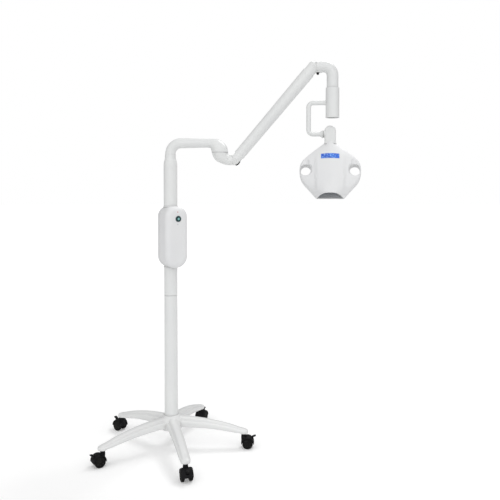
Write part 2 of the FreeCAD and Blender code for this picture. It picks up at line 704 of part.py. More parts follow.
def make_link():
    low, along = arm_vector()
    link_out, link_height = link_pivot(low.x, low.z)
    length = along.Length
    low_eye = cylinder("low_eye", 5.5, 6, (0, -3, 0), "y")
    high_eye = cylinder("high_eye", 5.5, 6, (length, -3, 0), "y")
    bar = slab("bar", (0, -2.5, -2.3), (length, 2.5, 2.3))
    low_hole = cylinder("low_eye_hole", "[link_pin_radius] + [running_gap]", 20, (0, -10, 0), "y")
    high_hole = cylinder("high_eye_hole", "[link_pin_radius] + 0.4", 20, (length, -10, 0), "y")
    place = Placement(Vector(link_out, 0, link_height), arm_place().Rotation)
    node("parallel_link", cut("link", fuse("link_solid", low_eye, bar, high_eye), low_hole, high_hole), place)


# ---- wrist, swivel sleeve and C bracket -------------------------------------------------------------------


def make_wrist():
    out, height = size("high_pivot_out"), size("high_pivot_height")
    link_out, link_height = link_pivot(out, height)
    half = "[tongue_half]"
    bend_out = "[wrist_axis] - [wrist_bend]"
    bend_low = "[wrist_height] - [wrist_bend]"
    stub_start = out + 10
    bore_start = out + 30.7
    stub = cylinder("wrist_stub", "[wrist_radius]", bend_out + " - %g" % stub_start,
                    (stub_start, 0, "[wrist_height]"), "x")
    steepest = pivot_room("high_room", size("spring_arm_high_radius") + 0.5, (out, height), arm_pitch() + 192)
    outer = [
        cut("wrist_cup", stub, steepest),
        bend("wrist_turn", "[wrist_bend]", "[wrist_radius]", (bend_out, 0, bend_low), Z_AXIS, X_AXIS),
        cylinder("wrist_drop", "[wrist_radius]", bend_low + " - [sleeve_top] - 0.6",
                 ("[wrist_axis]", 0, "[sleeve_top] + 0.6")),
        cylinder("wrist_spigot", "[spigot_radius]", 120, ("[wrist_axis]", 0, 1240)),
        cylinder("wrist_tongue", 21, half + " * 2",
                 ("[high_pivot_out]", "-" + half, "[high_pivot_height]"), "y"),
        box("wrist_tongue_neck", 34, half + " * 2", 41,
            ("[high_pivot_out]", "-" + half, "[wrist_height] - [wrist_radius]")),
    ]
    inner = [
        cylinder("wrist_bore", "[wrist_radius] - 5", bend_out + " - %g" % bore_start,
                 (bore_start, 0, "[wrist_height]"), "x"),
        bend("wrist_turn_bore", "[wrist_bend]", "[wrist_radius] - 5", (bend_out, 0, bend_low), Z_AXIS, X_AXIS),
        cylinder("wrist_drop_bore", "[wrist_radius] - 5", bend_low + " - 1362", ("[wrist_axis]", 0, 1362)),
        cylinder("spigot_bore_small", "[spigot_radius] - 4", 150, ("[wrist_axis]", 0, 1230)),
        cylinder("high_pin_bore", "[pivot_pin_radius] + [running_gap]", 60, (out, -30, height), "y"),
        box("high_link_slot", 44, "[link_slot_half] * 2", 60, (out - 34, "-[link_slot_half]", height - 34)),
        cylinder("high_link_bore", "[link_pin_radius]", 60, (link_out, -30, link_height), "y"),
    ]
    node("wrist_elbow", cut("wrist_casting", fuse("wrist_solid", *outer), *inner))
    node("upper_link_pin", cylinder("high_link_pin", "[link_pin_radius]", half + " * 2",
                                    (link_out, "-" + half, link_height), "y"))
    side = Placement(Vector(), Rotation(X_AXIS, Z_AXIS, Y_AXIS * -1, "XYZ"))
    under = size("wrist_height") - size("wrist_radius")
    wedge = closed_sketch("wedge", side, [(out + 12, under), (out + 22, under), (out + 22, under - 7.6),
                                          (out + 16, under - 8)])
    node("upper_bumper", extrusion("high_bumper", wedge, Y_AXIS, 9, 9))


def yoke_place():
    return Placement(Vector(size("wrist_axis"), 0, 0), Rotation(Z_AXIS, size("head_turn")))


def make_yoke():
    place = yoke_place()
    barrel = cylinder("sleeve_barrel", "[sleeve_radius]", "[sleeve_top] - [sleeve_bottom]",
                      (0, 0, "[sleeve_bottom]"))
    lip = cylinder("sleeve_lip", "[sleeve_radius] + 0.9", 4, (0, 0, "[sleeve_bottom]"))
    bore = cylinder("sleeve_hollow", "[sleeve_bore]", 200, (0, 0, "[sleeve_bottom] - 20"))
    node("swivel_sleeve", cut("sleeve", fuse("sleeve_solid", barrel, lip), bore), place)
    bushes = []
    for name, start in (("low", "1242"), ("high", "[sleeve_top] - 22")):
        ring = cylinder(name + "_sleeve_bush", "[sleeve_bore]", 22, (0, 0, start))
        hole = cylinder(name + "_sleeve_bush_hole", "[spigot_radius] + [running_gap]", 40,
                        (0, 0, start + " - 5"))
        bushes.append(cut(name + "_bush_ring", ring, hole))
    node("sleeve_bushes", group("sleeve_bush_group", *bushes), place)

    tube, corner = "[bracket_tube]", "[bracket_corner]"
    reach, high, low = "[bracket_reach]", "[bracket_high]", "[tilt_height]"
    turn_out, turn_low = "-" + reach + " + " + corner, low + " + " + corner
    pieces = [
        cylinder("bracket_top", tube, reach + " - " + corner + " - 15", (turn_out, 0, high), "x"),
        bend("bracket_top_bend", corner, tube, (turn_out, 0, high + " - " + corner), X_AXIS * -1, Z_AXIS),
        cylinder("bracket_side", tube, high + " - " + low + " - " + corner + " * 2",
                 ("-" + reach, 0, turn_low)),
        bend("bracket_low_bend", corner, tube, (turn_out, 0, turn_low), Z_AXIS * -1, X_AXIS * -1),
        cylinder("bracket_low", tube, reach + " - " + corner + " - 41", (turn_out, 0, low), "x"),
        cone("bracket_flare", tube, 15, 5, (-43, 0, low), "x"),
        cylinder("bracket_flange", 15, 3.6, (-38, 0, low), "x"),
    ]
    sleeve_room = cylinder("sleeve_room", "[sleeve_radius]", 200, (0, 0, 1200))
    pin_room = cylinder("tilt_pin_room", "[tilt_pin_radius]", 30, (-50, 0, low), "x")
    node("c_bracket", cut("bracket", fuse("bracket_solid", *pieces), sleeve_room, pin_room), place)

    pin = cylinder("tilt_shaft", "[tilt_pin_radius]", 60, (-50, 0, low), "x")
    cap = cylinder("tilt_cap", 11, 3, (8.2, 0, low), "x")
    node("tilt_pin", fuse("tilt_pin_part", pin, cap), place)
    rings = []
    for name, radius, thick, start in (("inner", 12.6, 0.9, -34.4), ("outer", 11, 1.4, 6.7)):
        ring = cylinder(name + "_washer", radius, thick, (start, 0, low), "x")
        hole = cylinder(name + "_washer_hole", "[tilt_pin_radius]", 10, (start - 4, 0, low), "x")
        rings.append(cut(name + "_ring", ring, hole))
    node("friction_washers", group("washer_group", *rings), place)


# ---- lamp head --------------------------------------------------------------------------------------------


def neck_place():
    pivot = Placement(Vector(size("head_offset"), 0, size("tilt_height")), Rotation(X_AXIS, -size("head_tilt")))
    return yoke_place().multiply(pivot)


def head_place():
    return neck_place().multiply(Placement(Vector(0, 0, -size("body_drop")), Rotation()))


def kite_sketch(name, inset):
    """The head's outline seen from the front: neck, slanting shoulders, round wings and a flat outlet edge."""
    half = [(24, -27), (33, -38, 26, -34), (87, -84), (111, -142, 107, -109), (92, -194, 106, -170),
            (50.3, -242), (50.3, -243)]
    points = []
    for point in half:
        moved = [value - math.copysign(inset, value) if k % 2 == 0 else value
                 for k, value in enumerate(point)]
        points.append(tuple(moved))
    points[0] = (points[0][0], points[0][1] - inset)
    left = []
    for i in range(len(points) - 1, -1, -1):
        x, y = points[i][:2]
        entry = (-x, y)
        if i < len(points) - 1 and len(points[i + 1]) == 4:
            entry = (-x, y, -points[i + 1][2], points[i + 1][3])
        left.append(entry)
    facing = Placement(Vector(), Rotation(X_AXIS, Z_AXIS, Y_AXIS * -1, "XYZ"))
    return closed_sketch(name, facing, points + left)


def d_sketch(name, drop, half_width, back, shoulder, crown):
    """A D-shaped cross-section of the bulged middle: flat back, straight sides and a round front."""
    level = Placement(Vector(0, 0, -drop), Rotation())
    outline = [(half_width, back), (half_width, shoulder), (-half_width, shoulder, 0, crown),
               (-half_width, back)]
    return closed_sketch(name, level, outline)


BULGE = (  # drop below the pivot, half width, back, shoulder, crown
    (27, 24, 22, -12, -21),
    (70, 35, 24, -8, -28),
    (130, 46, 24, -9, -34),
    (200, 50.3, 24, -10, -36),
)


def bulge(name, grow, start=0.0):
    """The middle of the head as a loft, grown or shrunk all round, with its straight outlet end."""
    made = []
    for i, (drop, half_width, back, shoulder, crown) in enumerate(BULGE):
        level = drop + (start if i == 0 else 0)
        section = "%s_%d" % (name, i)
        made.append(d_sketch(section, level, half_width + grow, back + grow, shoulder, crown - grow))
    body = loft(name + "_loft", made)
    last = d_sketch(name + "_end", BULGE[-1][0], BULGE[-1][1] + grow, BULGE[-1][2] + grow, BULGE[-1][3],
                    BULGE[-1][4] - grow)
    outlet = extrusion(name + "_outlet", last, Z_AXIS * -1, "[head_length] - %g" % BULGE[-1][0])
    return fuse(name, body, outlet)


def finger_hole(name, side, grow):
    """An upright slot-shaped post through the wing."""
    facing = Placement(Vector(), Rotation(X_AXIS, Z_AXIS, Y_AXIS * -1, "XYZ"))
    r = size("finger_hole_radius") + grow
    middle = side * size("finger_hole_out")
    outline = [(middle + r, -135.5), (middle - r, -135.5, middle, -135.5 + r),
               (middle - r, -144), (middle + r, -144, middle, -144 - r)]
    return extrusion(name, closed_sketch(name + "_outline", facing, outline), Y_AXIS, 40, 20)


SCREW_SPOTS = ((-60, -96), (60, -96), (-56, -196), (56, -196))


def outlet_slice(name, inset, top, bottom):
    """A slice of the outlet's D-shaped inside, between two drops below the pivot."""
    last = BULGE[-1]
    outline = d_sketch(name + "_outline", top, last[1] - inset, last[2] - inset, last[3], last[4] + inset)
    return extrusion(name, outline, Z_AXIS * -1, bottom - top)


def make_head():
    place = head_place()
    wall = size("shell_wall")
    drop = size("body_drop")
    half, top = size("neck_half_width"), size("neck_top")
    facing = Placement(Vector(), Rotation(X_AXIS, Z_AXIS, Y_AXIS * -1, "XYZ"))
    arch = [(half, -50), (half, top - half), (-half, top - half, 0, top), (-half, -50)]
    post = extrusion("neck_post", closed_sketch("neck_arch", facing, arch), Y_AXIS,
                     "[neck_back]", "[neck_front]")
    soft = fillet("neck_soft", post, 7, lambda edge: edge.CenterOfMass.z > -49 and edge.Length > 40)
    boss = cylinder("neck_boss", 13.5, 10, ("-[neck_half_width] - 4.4", 0, 0), "x")
    tang = slab("neck_tang", (-13, -8, -66), (13, 8, -40))
    bore = cylinder("neck_bore", "[tilt_pin_radius] + [running_gap]", 80, (-40, 0, 0), "x")
    cap_room = cylinder("neck_cap_room", 12, 20, (14.7, 0, 0), "x")
    node("neck_knuckle", cut("neck", fuse("neck_solid", soft, boss, tang), bore, cap_room), neck_place())

    plate = extrusion("plate", kite_sketch("plate_outline", 0), Y_AXIS, "[plate_back]", "[plate_front]")
    hollow = extrusion("plate_hollow", kite_sketch("plate_hollow_outline", wall), Y_AXIS, "[plate_back] - 3",
                       "[plate_front] - 3")
    outer = fuse("head_outer", plate, bulge("bulge_outer", 0))
    inner = fuse("head_hollow", hollow, bulge("bulge_inner", -wall, 8))
    posts = [cylinder("head_post_%d" % i, 4, 30, (x, -7, z), "y") for i, (x, z) in enumerate(SCREW_SPOTS)]
    kept_walls = [finger_hole("hole_wall_left", -1, wall), finger_hole("hole_wall_right", 1, wall), *posts]
    cavity = cut("head_cavity", inner, *kept_walls)
    holes = [finger_hole("hole_left", -1, 0), finger_hole("hole_right", 1, 0)]
    neck_room = slab("neck_room", (-half, -size("neck_front"), drop - 50), (half, size("neck_back"), 0))
    tang_room = slab("tang_room", (-13, -8, drop - 66), (13, 8, -20))
    shanks, heads, shank_holes, head_holes = [], [], [], []
    for i, (x, z) in enumerate(SCREW_SPOTS):
        shanks.append(cylinder("head_screw_shank_%d" % i, 1.6, 19, (x, 2, z), "y"))
        heads.append(cylinder("head_screw_head_%d" % i, 3.1, 2.4, (x, 20.6, z), "y"))
        shank_holes.append(cylinder("head_screw_hole_%d" % i, 1.6, 30, (x, 2, z), "y"))
        head_holes.append(cylinder("head_head_hole_%d" % i, 3.3, 10, (x, 20.6, z), "y"))
    mouth = outlet_slice("outlet_mouth", wall, BULGE[-1][0], size("head_length") + 5)
    tools = [cavity, *holes, neck_room, tang_room, mouth, *shank_holes, *head_holes]
    split = size("head_split")
    rear_room = slab("rear_room", (-130, split, -260), (130, 60, 10))
    front_room = slab("front_room", (-130, -60, -260), (130, split, 10))
    node("head_front_shell", cut("front_head", outer, *tools, rear_room), place)
    rear_solid = cut("rear_head", outer, *tools, front_room)
    node("head_back_shell", rear_solid, place)
    screws = [fuse("head_screw_%d" % i, a, b) for i, (a, b) in enumerate(zip(shanks, heads))]
    node("head_screws", group("head_screw_group", *screws), place)

    rim_inner = outlet_slice("rim_inner", wall + 2.5, 200, 260)
    rim = cut("rim", outlet_slice("rim_outer", wall, 205, 244.5), rim_inner)
    node("nozzle_rim", rim, place)
    node("outlet_lens", outlet_slice("lens", wall + 2.5, 218, 220.5), place)
    tunnel_outer = outlet_slice("tunnel_outer", wall + 2.5, 208, 218)
    node("reflector", cut("tunnel", tunnel_outer, outlet_slice("tunnel_inner", wall + 3.7, 200, 230)), place)
    board = outlet_slice("led_plate", wall + 1, 202, 205)
    diodes = [cylinder("led_%d" % i, 3, 2, (x, y, -207)) for i, (x, y) in
              enumerate((x, y) for x in (-30, -15, 0, 15, 30) for y in (-6, 8))]
    node("led_board", fuse("led_board_part", board, *diodes), place)
    block = slab("sink_block", (-34, -14, -202), (34, 18, -146))
    gaps = [slab("sink_gap_%d" % i, (x, -20, -196), (x + 6, 30, -136))
            for i, x in enumerate((-28, -17, -6, 5, 16))]
    node("heat_sink", cut("sink", block, *gaps), place)
    badge_room = slab("badge_room", (-33, -60, -103.5), (33, -10, -83))
    badge = common("badge_band", bulge("bulge_badge", 0.7), badge_room)
    node("head_label", cut("badge", badge, bulge("bulge_under_badge", 0)), place)


make_base()
for caster in range(LEG_COUNT):
    make_hood(caster)
    make_wheels(caster)
    make_pedal(caster)
make_column()
make_box()
make_first_arm()
make_lower_elbow()
make_spring_arm()
make_link()
make_wrist()
make_yoke()
make_head()
doc.recompute()

failed = [obj.Name for obj in doc.Objects if "Invalid" in obj.State or "Error" in obj.State]
for obj in nodes:
    shape = obj.Shape
    if shape.isNull() or not shape.isValid() or not shape.Solids:
        failed.append(obj.Label + " (shape)")
if failed:
    raise RuntimeError("failed objects: " + ", ".join(failed))
os.makedirs("parts", exist_ok=True)
for obj in nodes:
    obj.Shape.exportStep("parts/%s.step" % obj.Label)
    print("%-22s solids %d  volume %9.0f mm3" % (obj.Label, len(obj.Shape.Solids), obj.Shape.Volume))
print(len(nodes), "nodes")
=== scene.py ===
import json
import math

import bmesh
import bpy
from mathutils import Matrix, Vector


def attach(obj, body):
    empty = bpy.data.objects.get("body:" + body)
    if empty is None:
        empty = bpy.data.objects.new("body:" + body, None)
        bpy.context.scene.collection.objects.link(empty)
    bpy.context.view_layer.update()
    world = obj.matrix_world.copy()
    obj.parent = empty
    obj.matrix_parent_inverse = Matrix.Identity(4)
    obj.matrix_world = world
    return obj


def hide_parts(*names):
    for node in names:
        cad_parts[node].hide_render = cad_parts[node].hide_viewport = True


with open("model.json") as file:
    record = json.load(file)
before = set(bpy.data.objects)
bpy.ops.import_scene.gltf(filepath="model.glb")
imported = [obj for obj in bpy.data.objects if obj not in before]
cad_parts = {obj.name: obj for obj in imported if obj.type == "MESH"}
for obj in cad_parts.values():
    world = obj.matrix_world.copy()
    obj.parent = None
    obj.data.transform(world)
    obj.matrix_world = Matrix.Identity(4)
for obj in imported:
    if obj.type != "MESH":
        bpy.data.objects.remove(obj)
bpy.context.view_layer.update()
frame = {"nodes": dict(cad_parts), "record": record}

NODES = frame["nodes"]
MM = 0.001
scene = bpy.context.scene


# ---- places of the subassemblies, in millimetres ----------------------------------------------------------


def turn(angle, axis):
    return Matrix.Rotation(math.radians(angle), 4, axis)


def shift(x, y, z):
    return Matrix.Translation((x, y, z))


WORLD = Matrix()
BOX = turn(32, "Z")
YOKE = shift(602, 0, 0) @ turn(-7, "Z")
NECK = YOKE @ shift(-8, 0, 1176) @ turn(-25, "X")
HEAD = NECK @ shift(0, 0, -11)
TO_Y = turn(-90, "X")  # carries a lathe's axis from +Z to +Y
TO_X = turn(90, "Y")  # carries a lathe's axis from +Z to +X


def caster_place(index):
    return turn(72 * index - 1, "Z") @ shift(272, 0, 0)


# ---- materials --------------------------------------------------------------------------------------------


def shader(name):
    material = bpy.data.materials.new(name)
    material.use_nodes = True
    tree = material.node_tree
    return material, tree, tree.nodes["Principled BSDF"]


def add(tree, kind, **values):
    made = tree.nodes.new("ShaderNode" + kind)
    for key, value in values.items():
        if hasattr(made, key):
            setattr(made, key, value)
        else:
            made.inputs[key].default_value = value
    return made


def noise(tree, scale, detail=3.0, stretch=None):
    coordinates = add(tree, "TexCoord")
    source = coordinates.outputs["Object"]
    if stretch is not None:
        mapping = add(tree, "Mapping")
        mapping.inputs["Scale"].default_value = stretch
        tree.links.new(source, mapping.inputs["Vector"])
        source = mapping.outputs["Vector"]
    texture = add(tree, "TexNoise")
    texture.inputs["Scale"].default_value = scale
    texture.inputs["Detail"].default_value = detail
    tree.links.new(source, texture.inputs["Vector"])
    return texture.outputs["Fac"]


def ramp(tree, source, low, high, start, end):
    """Maps a 0-1 value between two stops to a number from start to end."""
    made = add(tree, "MapRange")
    made.inputs["From Min"].default_value = low
    made.inputs["From Max"].default_value = high
    made.inputs["To Min"].default_value = start
    made.inputs["To Max"].default_value = end
    tree.links.new(source, made.inputs["Value"])
    return made.outputs["Result"]


def mix_colour(tree, factor, first, second):
    made = add(tree, "Mix", data_type="RGBA")
    tree.links.new(factor, made.inputs["Factor"])
    for socket, value in ((made.inputs[6], first), (made.inputs[7], second)):
        if isinstance(value, tuple):
            socket.default_value = (*value, 1)
        else:
            tree.links.new(value, socket)
    return made.outputs[2]


def bump(tree, bsdf, height, strength, distance):
    made = add(tree, "Bump")
    made.inputs["Strength"].default_value = strength
    made.inputs["Distance"].default_value = distance
    tree.links.new(height, made.inputs["Height"])
    tree.links.new(made.outputs["Normal"], bsdf.inputs["Normal"])


def finish_of(name, colour, shade, rough, grain, depth, metallic=0.0, coat=0.0, crevice_shade=None, stretch=None,
              blotch=7.0, wear=None, reach=0.012, specular=0.5):
    """A finish with drifting tone, uneven gloss and a fine surface grain.

    colour and shade are its two tones, rough its gloss range, grain the texture's scale per metre and depth its
    relief in metres. crevice_shade is painted shade, a darker tone that ambient occlusion lays into corners and
    recesses within reach; wear the tone that shows on rubbed edges.
    """
    material, tree, bsdf = shader(name)
    tone = mix_colour(tree, ramp(tree, noise(tree, blotch, 4), 0.35, 0.65, 0, 1), colour, shade)
    # painted shade: where ambient occlusion finds corners and recesses within reach, the tone is darkened
    if crevice_shade is not None:
        shelter = add(tree, "AmbientOcclusion", samples=6)
        shelter.inputs["Distance"].default_value = reach
        closed = ramp(tree, shelter.outputs["AO"], 0.35, 0.95, 0.75, 0)
        tone = mix_colour(tree, closed, tone, crevice_shade)
    if wear is not None:
        geometry = add(tree, "NewGeometry")
        rubbed = ramp(tree, geometry.outputs["Pointiness"], 0.53, 0.62, 0, 0.7)
        patchy = add(tree, "Math", operation="MULTIPLY")
        tree.links.new(rubbed, patchy.inputs[0])
        tree.links.new(ramp(tree, noise(tree, 160, 5), 0.45, 0.6, 0, 1), patchy.inputs[1])
        tone = mix_colour(tree, patchy.outputs[0], tone, wear)
    tree.links.new(tone, bsdf.inputs["Base Color"])
    gloss = noise(tree, grain / 9, 5, stretch)
    tree.links.new(ramp(tree, gloss, 0.3, 0.7, *rough), bsdf.inputs["Roughness"])
    bump(tree, bsdf, noise(tree, grain, 2, stretch), 0.5, depth)
    bsdf.inputs["Metallic"].default_value = metallic
    bsdf.inputs["Coat Weight"].default_value = coat
    bsdf.inputs["Coat Roughness"].default_value = 0.18
    bsdf.inputs["Specular IOR Level"].default_value = specular
    return material


def make_materials():
    dust = (0.075, 0.074, 0.070)
    # painted shade: the grey that ambient occlusion lays into corners and recesses of the white finishes
    painted_shade_tone = (0.50, 0.50, 0.49)
    made = {
        "white_base": finish_of("white_base", (0.80, 0.805, 0.80), (0.765, 0.77, 0.77), (0.30, 0.42), 420, 0.00012,
                                coat=0.25, crevice_shade=painted_shade_tone, wear=(0.70, 0.70, 0.69)),
        "white_paint": finish_of("white_paint", (0.79, 0.80, 0.795), (0.765, 0.775, 0.775), (0.30, 0.40), 950,
                                 0.00006, coat=0.2, crevice_shade=painted_shade_tone),
        "white_cast": finish_of("white_cast", (0.77, 0.78, 0.775), (0.74, 0.75, 0.75), (0.34, 0.46), 700, 0.0001,
                                coat=0.15, crevice_shade=painted_shade_tone),
        # the shell's longer reach paints shade into its finger holes and outlet
        "white_shell": finish_of("white_shell", (0.81, 0.815, 0.82), (0.785, 0.79, 0.80), (0.34, 0.46), 1900,
                                 0.00004, coat=0.1, crevice_shade=painted_shade_tone, reach=0.03),
        "black_nylon": finish_of("black_nylon", (0.006, 0.006, 0.007), (0.011, 0.011, 0.012), (0.42, 0.62), 900,
                                 0.00012, wear=dust, specular=0.1),
        "black_wheel": finish_of("black_wheel", (0.005, 0.005, 0.0055), (0.012, 0.012, 0.011), (0.38, 0.60), 700,
                                 0.00010, wear=dust, blotch=60, specular=0.1),
        "black_rubber": finish_of("black_rubber", (0.006, 0.006, 0.006), (0.012, 0.012, 0.012), (0.65, 0.85), 1100,
                                  0.0001, specular=0.25),
        "zinc_steel": finish_of("zinc_steel", (0.60, 0.61, 0.63), (0.52, 0.53, 0.54), (0.22, 0.40), 1400, 0.00004,
                                metallic=1.0, stretch=(1, 1, 0.08)),
        "bearing_plastic": finish_of("bearing_plastic", (0.33, 0.33, 0.34), (0.28, 0.28, 0.29), (0.5, 0.65), 900,
                                     0.00006),
        "circuit_board": finish_of("circuit_board", (0.02, 0.16, 0.07), (0.03, 0.22, 0.10), (0.3, 0.5), 600, 0.0001,
                                   blotch=220),
        "supply_case": finish_of("supply_case", (0.05, 0.05, 0.055), (0.08, 0.08, 0.085), (0.5, 0.7), 700, 0.0001),
        "bare_aluminium": finish_of("bare_aluminium", (0.66, 0.67, 0.69), (0.58, 0.59, 0.61), (0.3, 0.5), 900,
                                    0.00006, metallic=1.0, stretch=(1, 0.06, 1)),
        "mirror_film": finish_of("mirror_film", (0.86, 0.87, 0.9), (0.8, 0.81, 0.84), (0.06, 0.14), 300, 0.00002,
                                 metallic=1.0),
        "grey_nozzle": finish_of("grey_nozzle", (0.47, 0.475, 0.485), (0.41, 0.415, 0.425), (0.45, 0.6), 1500,
                                 0.00006),
        "teal_ring": finish_of("teal_ring", (0.004, 0.055, 0.058), (0.006, 0.040, 0.045), (0.2, 0.32), 900, 0.00003,
                               coat=0.4),
        "teal_cap": finish_of("teal_cap", (0.16, 0.46, 0.44), (0.24, 0.56, 0.53), (0.25, 0.35), 900, 0.00003,
                              coat=0.4, blotch=300),
        "red_lamp": finish_of("red_lamp", (0.72, 0.30, 0.30), (0.62, 0.22, 0.22), (0.15, 0.25), 500, 0.00002,
                              coat=0.5, blotch=400),
    }
    made["clear_lens"] = lens_material()
    made["blue_label"] = label_material()
    return made


def lens_material():
    material, tree, bsdf = shader("clear_lens")
    tone = mix_colour(tree, noise(tree, 40, 2), (0.72, 0.80, 0.90), (0.62, 0.72, 0.86))
    tree.links.new(tone, bsdf.inputs["Base Color"])
    bsdf.inputs["Transmission Weight"].default_value = 0.6
    bsdf.inputs["IOR"].default_value = 1.5
    tree.links.new(ramp(tree, noise(tree, 200, 2), 0.3, 0.7, 0.08, 0.2), bsdf.inputs["Roughness"])
    bump(tree, bsdf, noise(tree, 900, 1), 0.3, 0.00005)
    return material


def label_material():
    """A blue printed foil with a soft pale fleck pattern and no lettering."""
    material, tree, bsdf = shader("blue_label")
    patches = ramp(tree, noise(tree, 60, 3), 0.4, 0.6, 0, 1)
    ground = mix_colour(tree, patches, (0.006, 0.09, 0.60), (0.012, 0.16, 0.78))
    flecks = noise(tree, 210, 1, (1.0, 1.0, 0.35))
    base = mix_colour(tree, ramp(tree, flecks, 0.52, 0.64, 0, 0.7), ground, (0.30, 0.56, 0.95))
    tree.links.new(base, bsdf.inputs["Base Color"])
    tree.links.new(ramp(tree, noise(tree, 300, 3), 0.3, 0.7, 0.25, 0.38), bsdf.inputs["Roughness"])
    bsdf.inputs["Coat Weight"].default_value = 0.5
    bump(tree, bsdf, noise(tree, 1500, 1), 0.3, 0.00003)
    return material


MATERIALS = make_materials()
SLOT_OF = {row["node"]: row["material_slot"] for row in frame["record"]["subparts"]}
for node_name, node_object in NODES.items():
    node_object.data.materials.clear()
    node_object.data.materials.append(MATERIALS[SLOT_OF[node_name]])
    for polygon in node_object.data.polygons:
        polygon.use_smooth = True
    node_object.data.set_sharp_from_angle(angle=math.radians(32))


# ---- mesh building: a part is (points, faces) in millimetres ----------------------------------------------


def rounded(points, steps=6):
    """A polyline in which each (a, b, radius) corner becomes an arc. Two-number points stay sharp."""
    made = []
    count = len(points)
    for i, point in enumerate(points):
        here = Vector(point[:2])
        if len(point) < 3 or point[2] <= 0:
            made.append(tuple(here))
            continue
        before = Vector(points[i - 1][:2]) - here
        after = Vector(points[(i + 1) % count][:2]) - here
        before.normalize()
        after.normalize()
        half = before.angle(after) / 2
        length = point[2] / math.tan(half)
        centre = here + (before + after).normalized() * (point[2] / math.sin(half))
        start = here + before * length - centre
        end = here + after * length - centre
        sweep = start.angle(end)
        for k in range(steps + 1):
            share = k / steps
            mixed = (start * math.sin((1 - share) * sweep) + end * math.sin(share * sweep)) / math.sin(sweep)
            made.append(tuple(centre + mixed))
    return made


def skin(rings, loop=False, caps=True):
    """Quads between rings of equally many points. loop joins the last ring to the first."""
    size = len(rings[0])
    points = [tuple(p) for ring in rings for p in ring]
    faces = []
    last = len(rings) if loop else len(rings) - 1
    for i in range(last):
        a, b = i * size, (i + 1) % len(rings) * size
        for k in range(size):
            j = (k + 1) % size
            faces.append([a + k, a + j, b + j, b + k])
    if caps and not loop:
        faces.append(list(range(size))[::-1])
        faces.append(list(range((len(rings) - 1) * size, len(rings) * size)))
    return points, faces


def lathe(profile, segments=72, loop=False):
    """Turns (radius, height) points round +Z. loop closes the profile into a ring-shaped part."""
    rings = []
    for radius, height in profile:
        ring = []
        for k in range(segments):
            angle = 2 * math.pi * k / segments
            ring.append((radius * math.cos(angle), radius * math.sin(angle), height))
        rings.append(ring)
    return skin(rings, loop)


def prism(outline, low, high, edge=0.0):
    """An outline in the XZ plane drawn out from y=low to y=high, with its rims eased by edge."""
    rings = []
    centre = Vector((sum(p[0] for p in outline), sum(p[1] for p in outline))) / len(outline)
    levels = [(low, edge), (low + edge, 0), (high - edge, 0), (high, edge)] if edge else [(low, 0), (high, 0)]
    for y, inset in levels:
        ring = []
        for p in outline:
            out = Vector(p) - centre
            scale = max(0.0, 1 - inset / max(out.length, 1e-6))
            ring.append((centre.x + out.x * scale, y, centre.y + out.y * scale))
        rings.append(ring)
    return skin(rings)


def dense(path, spacing=3.0):
    """The polyline resampled at about the given spacing, keeping its length."""
    made = [Vector(path[0])]
    for a, b in zip(path, path[1:]):
        a, b = Vector(a), Vector(b)
        steps = max(1, round((b - a).length / spacing))
        for k in range(1, steps + 1):
            made.append(a.lerp(b, k / steps))
    return made


def sweep(path, radius_at, segments=56):
    """A tube along an (x, z) path in the plane y=0. radius_at gives the radius from the share of its length."""
    lengths = [0.0]
    for a, b in zip(path, path[1:]):
        lengths.append(lengths[-1] + (Vector(b) - Vector(a)).length)
    rings = []
    for i, point in enumerate(path):
        ahead = Vector(path[min(i + 1, len(path) - 1)]) - Vector(path[max(i - 1, 0)])
        ahead.normalize()
        normal = Vector((-ahead.y, ahead.x))
        radius = radius_at(lengths[i] / lengths[-1])
        ring = []
        for k in range(segments):
            angle = 2 * math.pi * k / segments
            a, b = math.cos(angle) * radius, math.sin(angle) * radius
            ring.append((point[0] + normal.x * a, b, point[1] + normal.y * a))
        rings.append(ring)
    return skin(rings)


def stations(pairs):
    """A smooth function through (share, value) pairs."""

    def value_at(share):
        for (s0, v0), (s1, v1) in zip(pairs, pairs[1:]):
            if share <= s1:
                t = (share - s0) / (s1 - s0)
                t = min(max(t, 0.0), 1.0)
                return v0 + (v1 - v0) * t * t * (3 - 2 * t)
        return pairs[-1][1]

    return value_at


def through(table, value):
    """Cubic interpolation in a table of (position, value) pairs."""
    count = len(table)
    for i in range(count - 1):
        x0, y0 = table[i]
        x1, y1 = table[i + 1]
        if value <= x1 or i == count - 2:
            break
    before = table[max(i - 1, 0)]
    after = table[min(i + 2, count - 1)]
    slope_0 = (y1 - before[1]) / (x1 - before[0])
    slope_1 = (after[1] - y0) / (after[0] - x0)
    width = x1 - x0
    t = min(max((value - x0) / width, 0), 1)
    return ((2 * t**3 - 3 * t**2 + 1) * y0 + (t**3 - 2 * t**2 + t) * width * slope_0
            + (3 * t**2 - 2 * t**3) * y1 + (t**3 - t**2) * width * slope_1)


def moved(part, matrix):
    return [tuple(matrix @ Vector(p)) for p in part[0]], part[1]


def joined(*parts):
    points, faces = [], []
    for part_points, part_faces in parts:
        start = len(points)
        points += part_points
        faces += [[start + i for i in face] for face in part_faces]
    return points, faces


def mesh_of(name, part, place=WORLD, sharp=38):
    mesh = bpy.data.meshes.new(name)
    mesh.from_pydata([tuple((place @ Vector(p)) * MM) for p in part[0]], [], part[1])
    tidy_mesh(mesh)
    shade(mesh, sharp)
    return mesh


def tidy_mesh(mesh):
    work = bmesh.new()
    work.from_mesh(mesh)
    bmesh.ops.remove_doubles(work, verts=work.verts, dist=1e-6)
    bmesh.ops.recalc_face_normals(work, faces=work.faces)
    work.to_mesh(mesh)
    work.free()


def shade(mesh, sharp):
    for face in mesh.polygons:
        face.use_smooth = True
    mesh.set_sharp_from_angle(angle=math.radians(sharp))


def object_of(name, mesh):
    made = bpy.data.objects.new(name, mesh)
    scene.collection.objects.link(made)
    return made


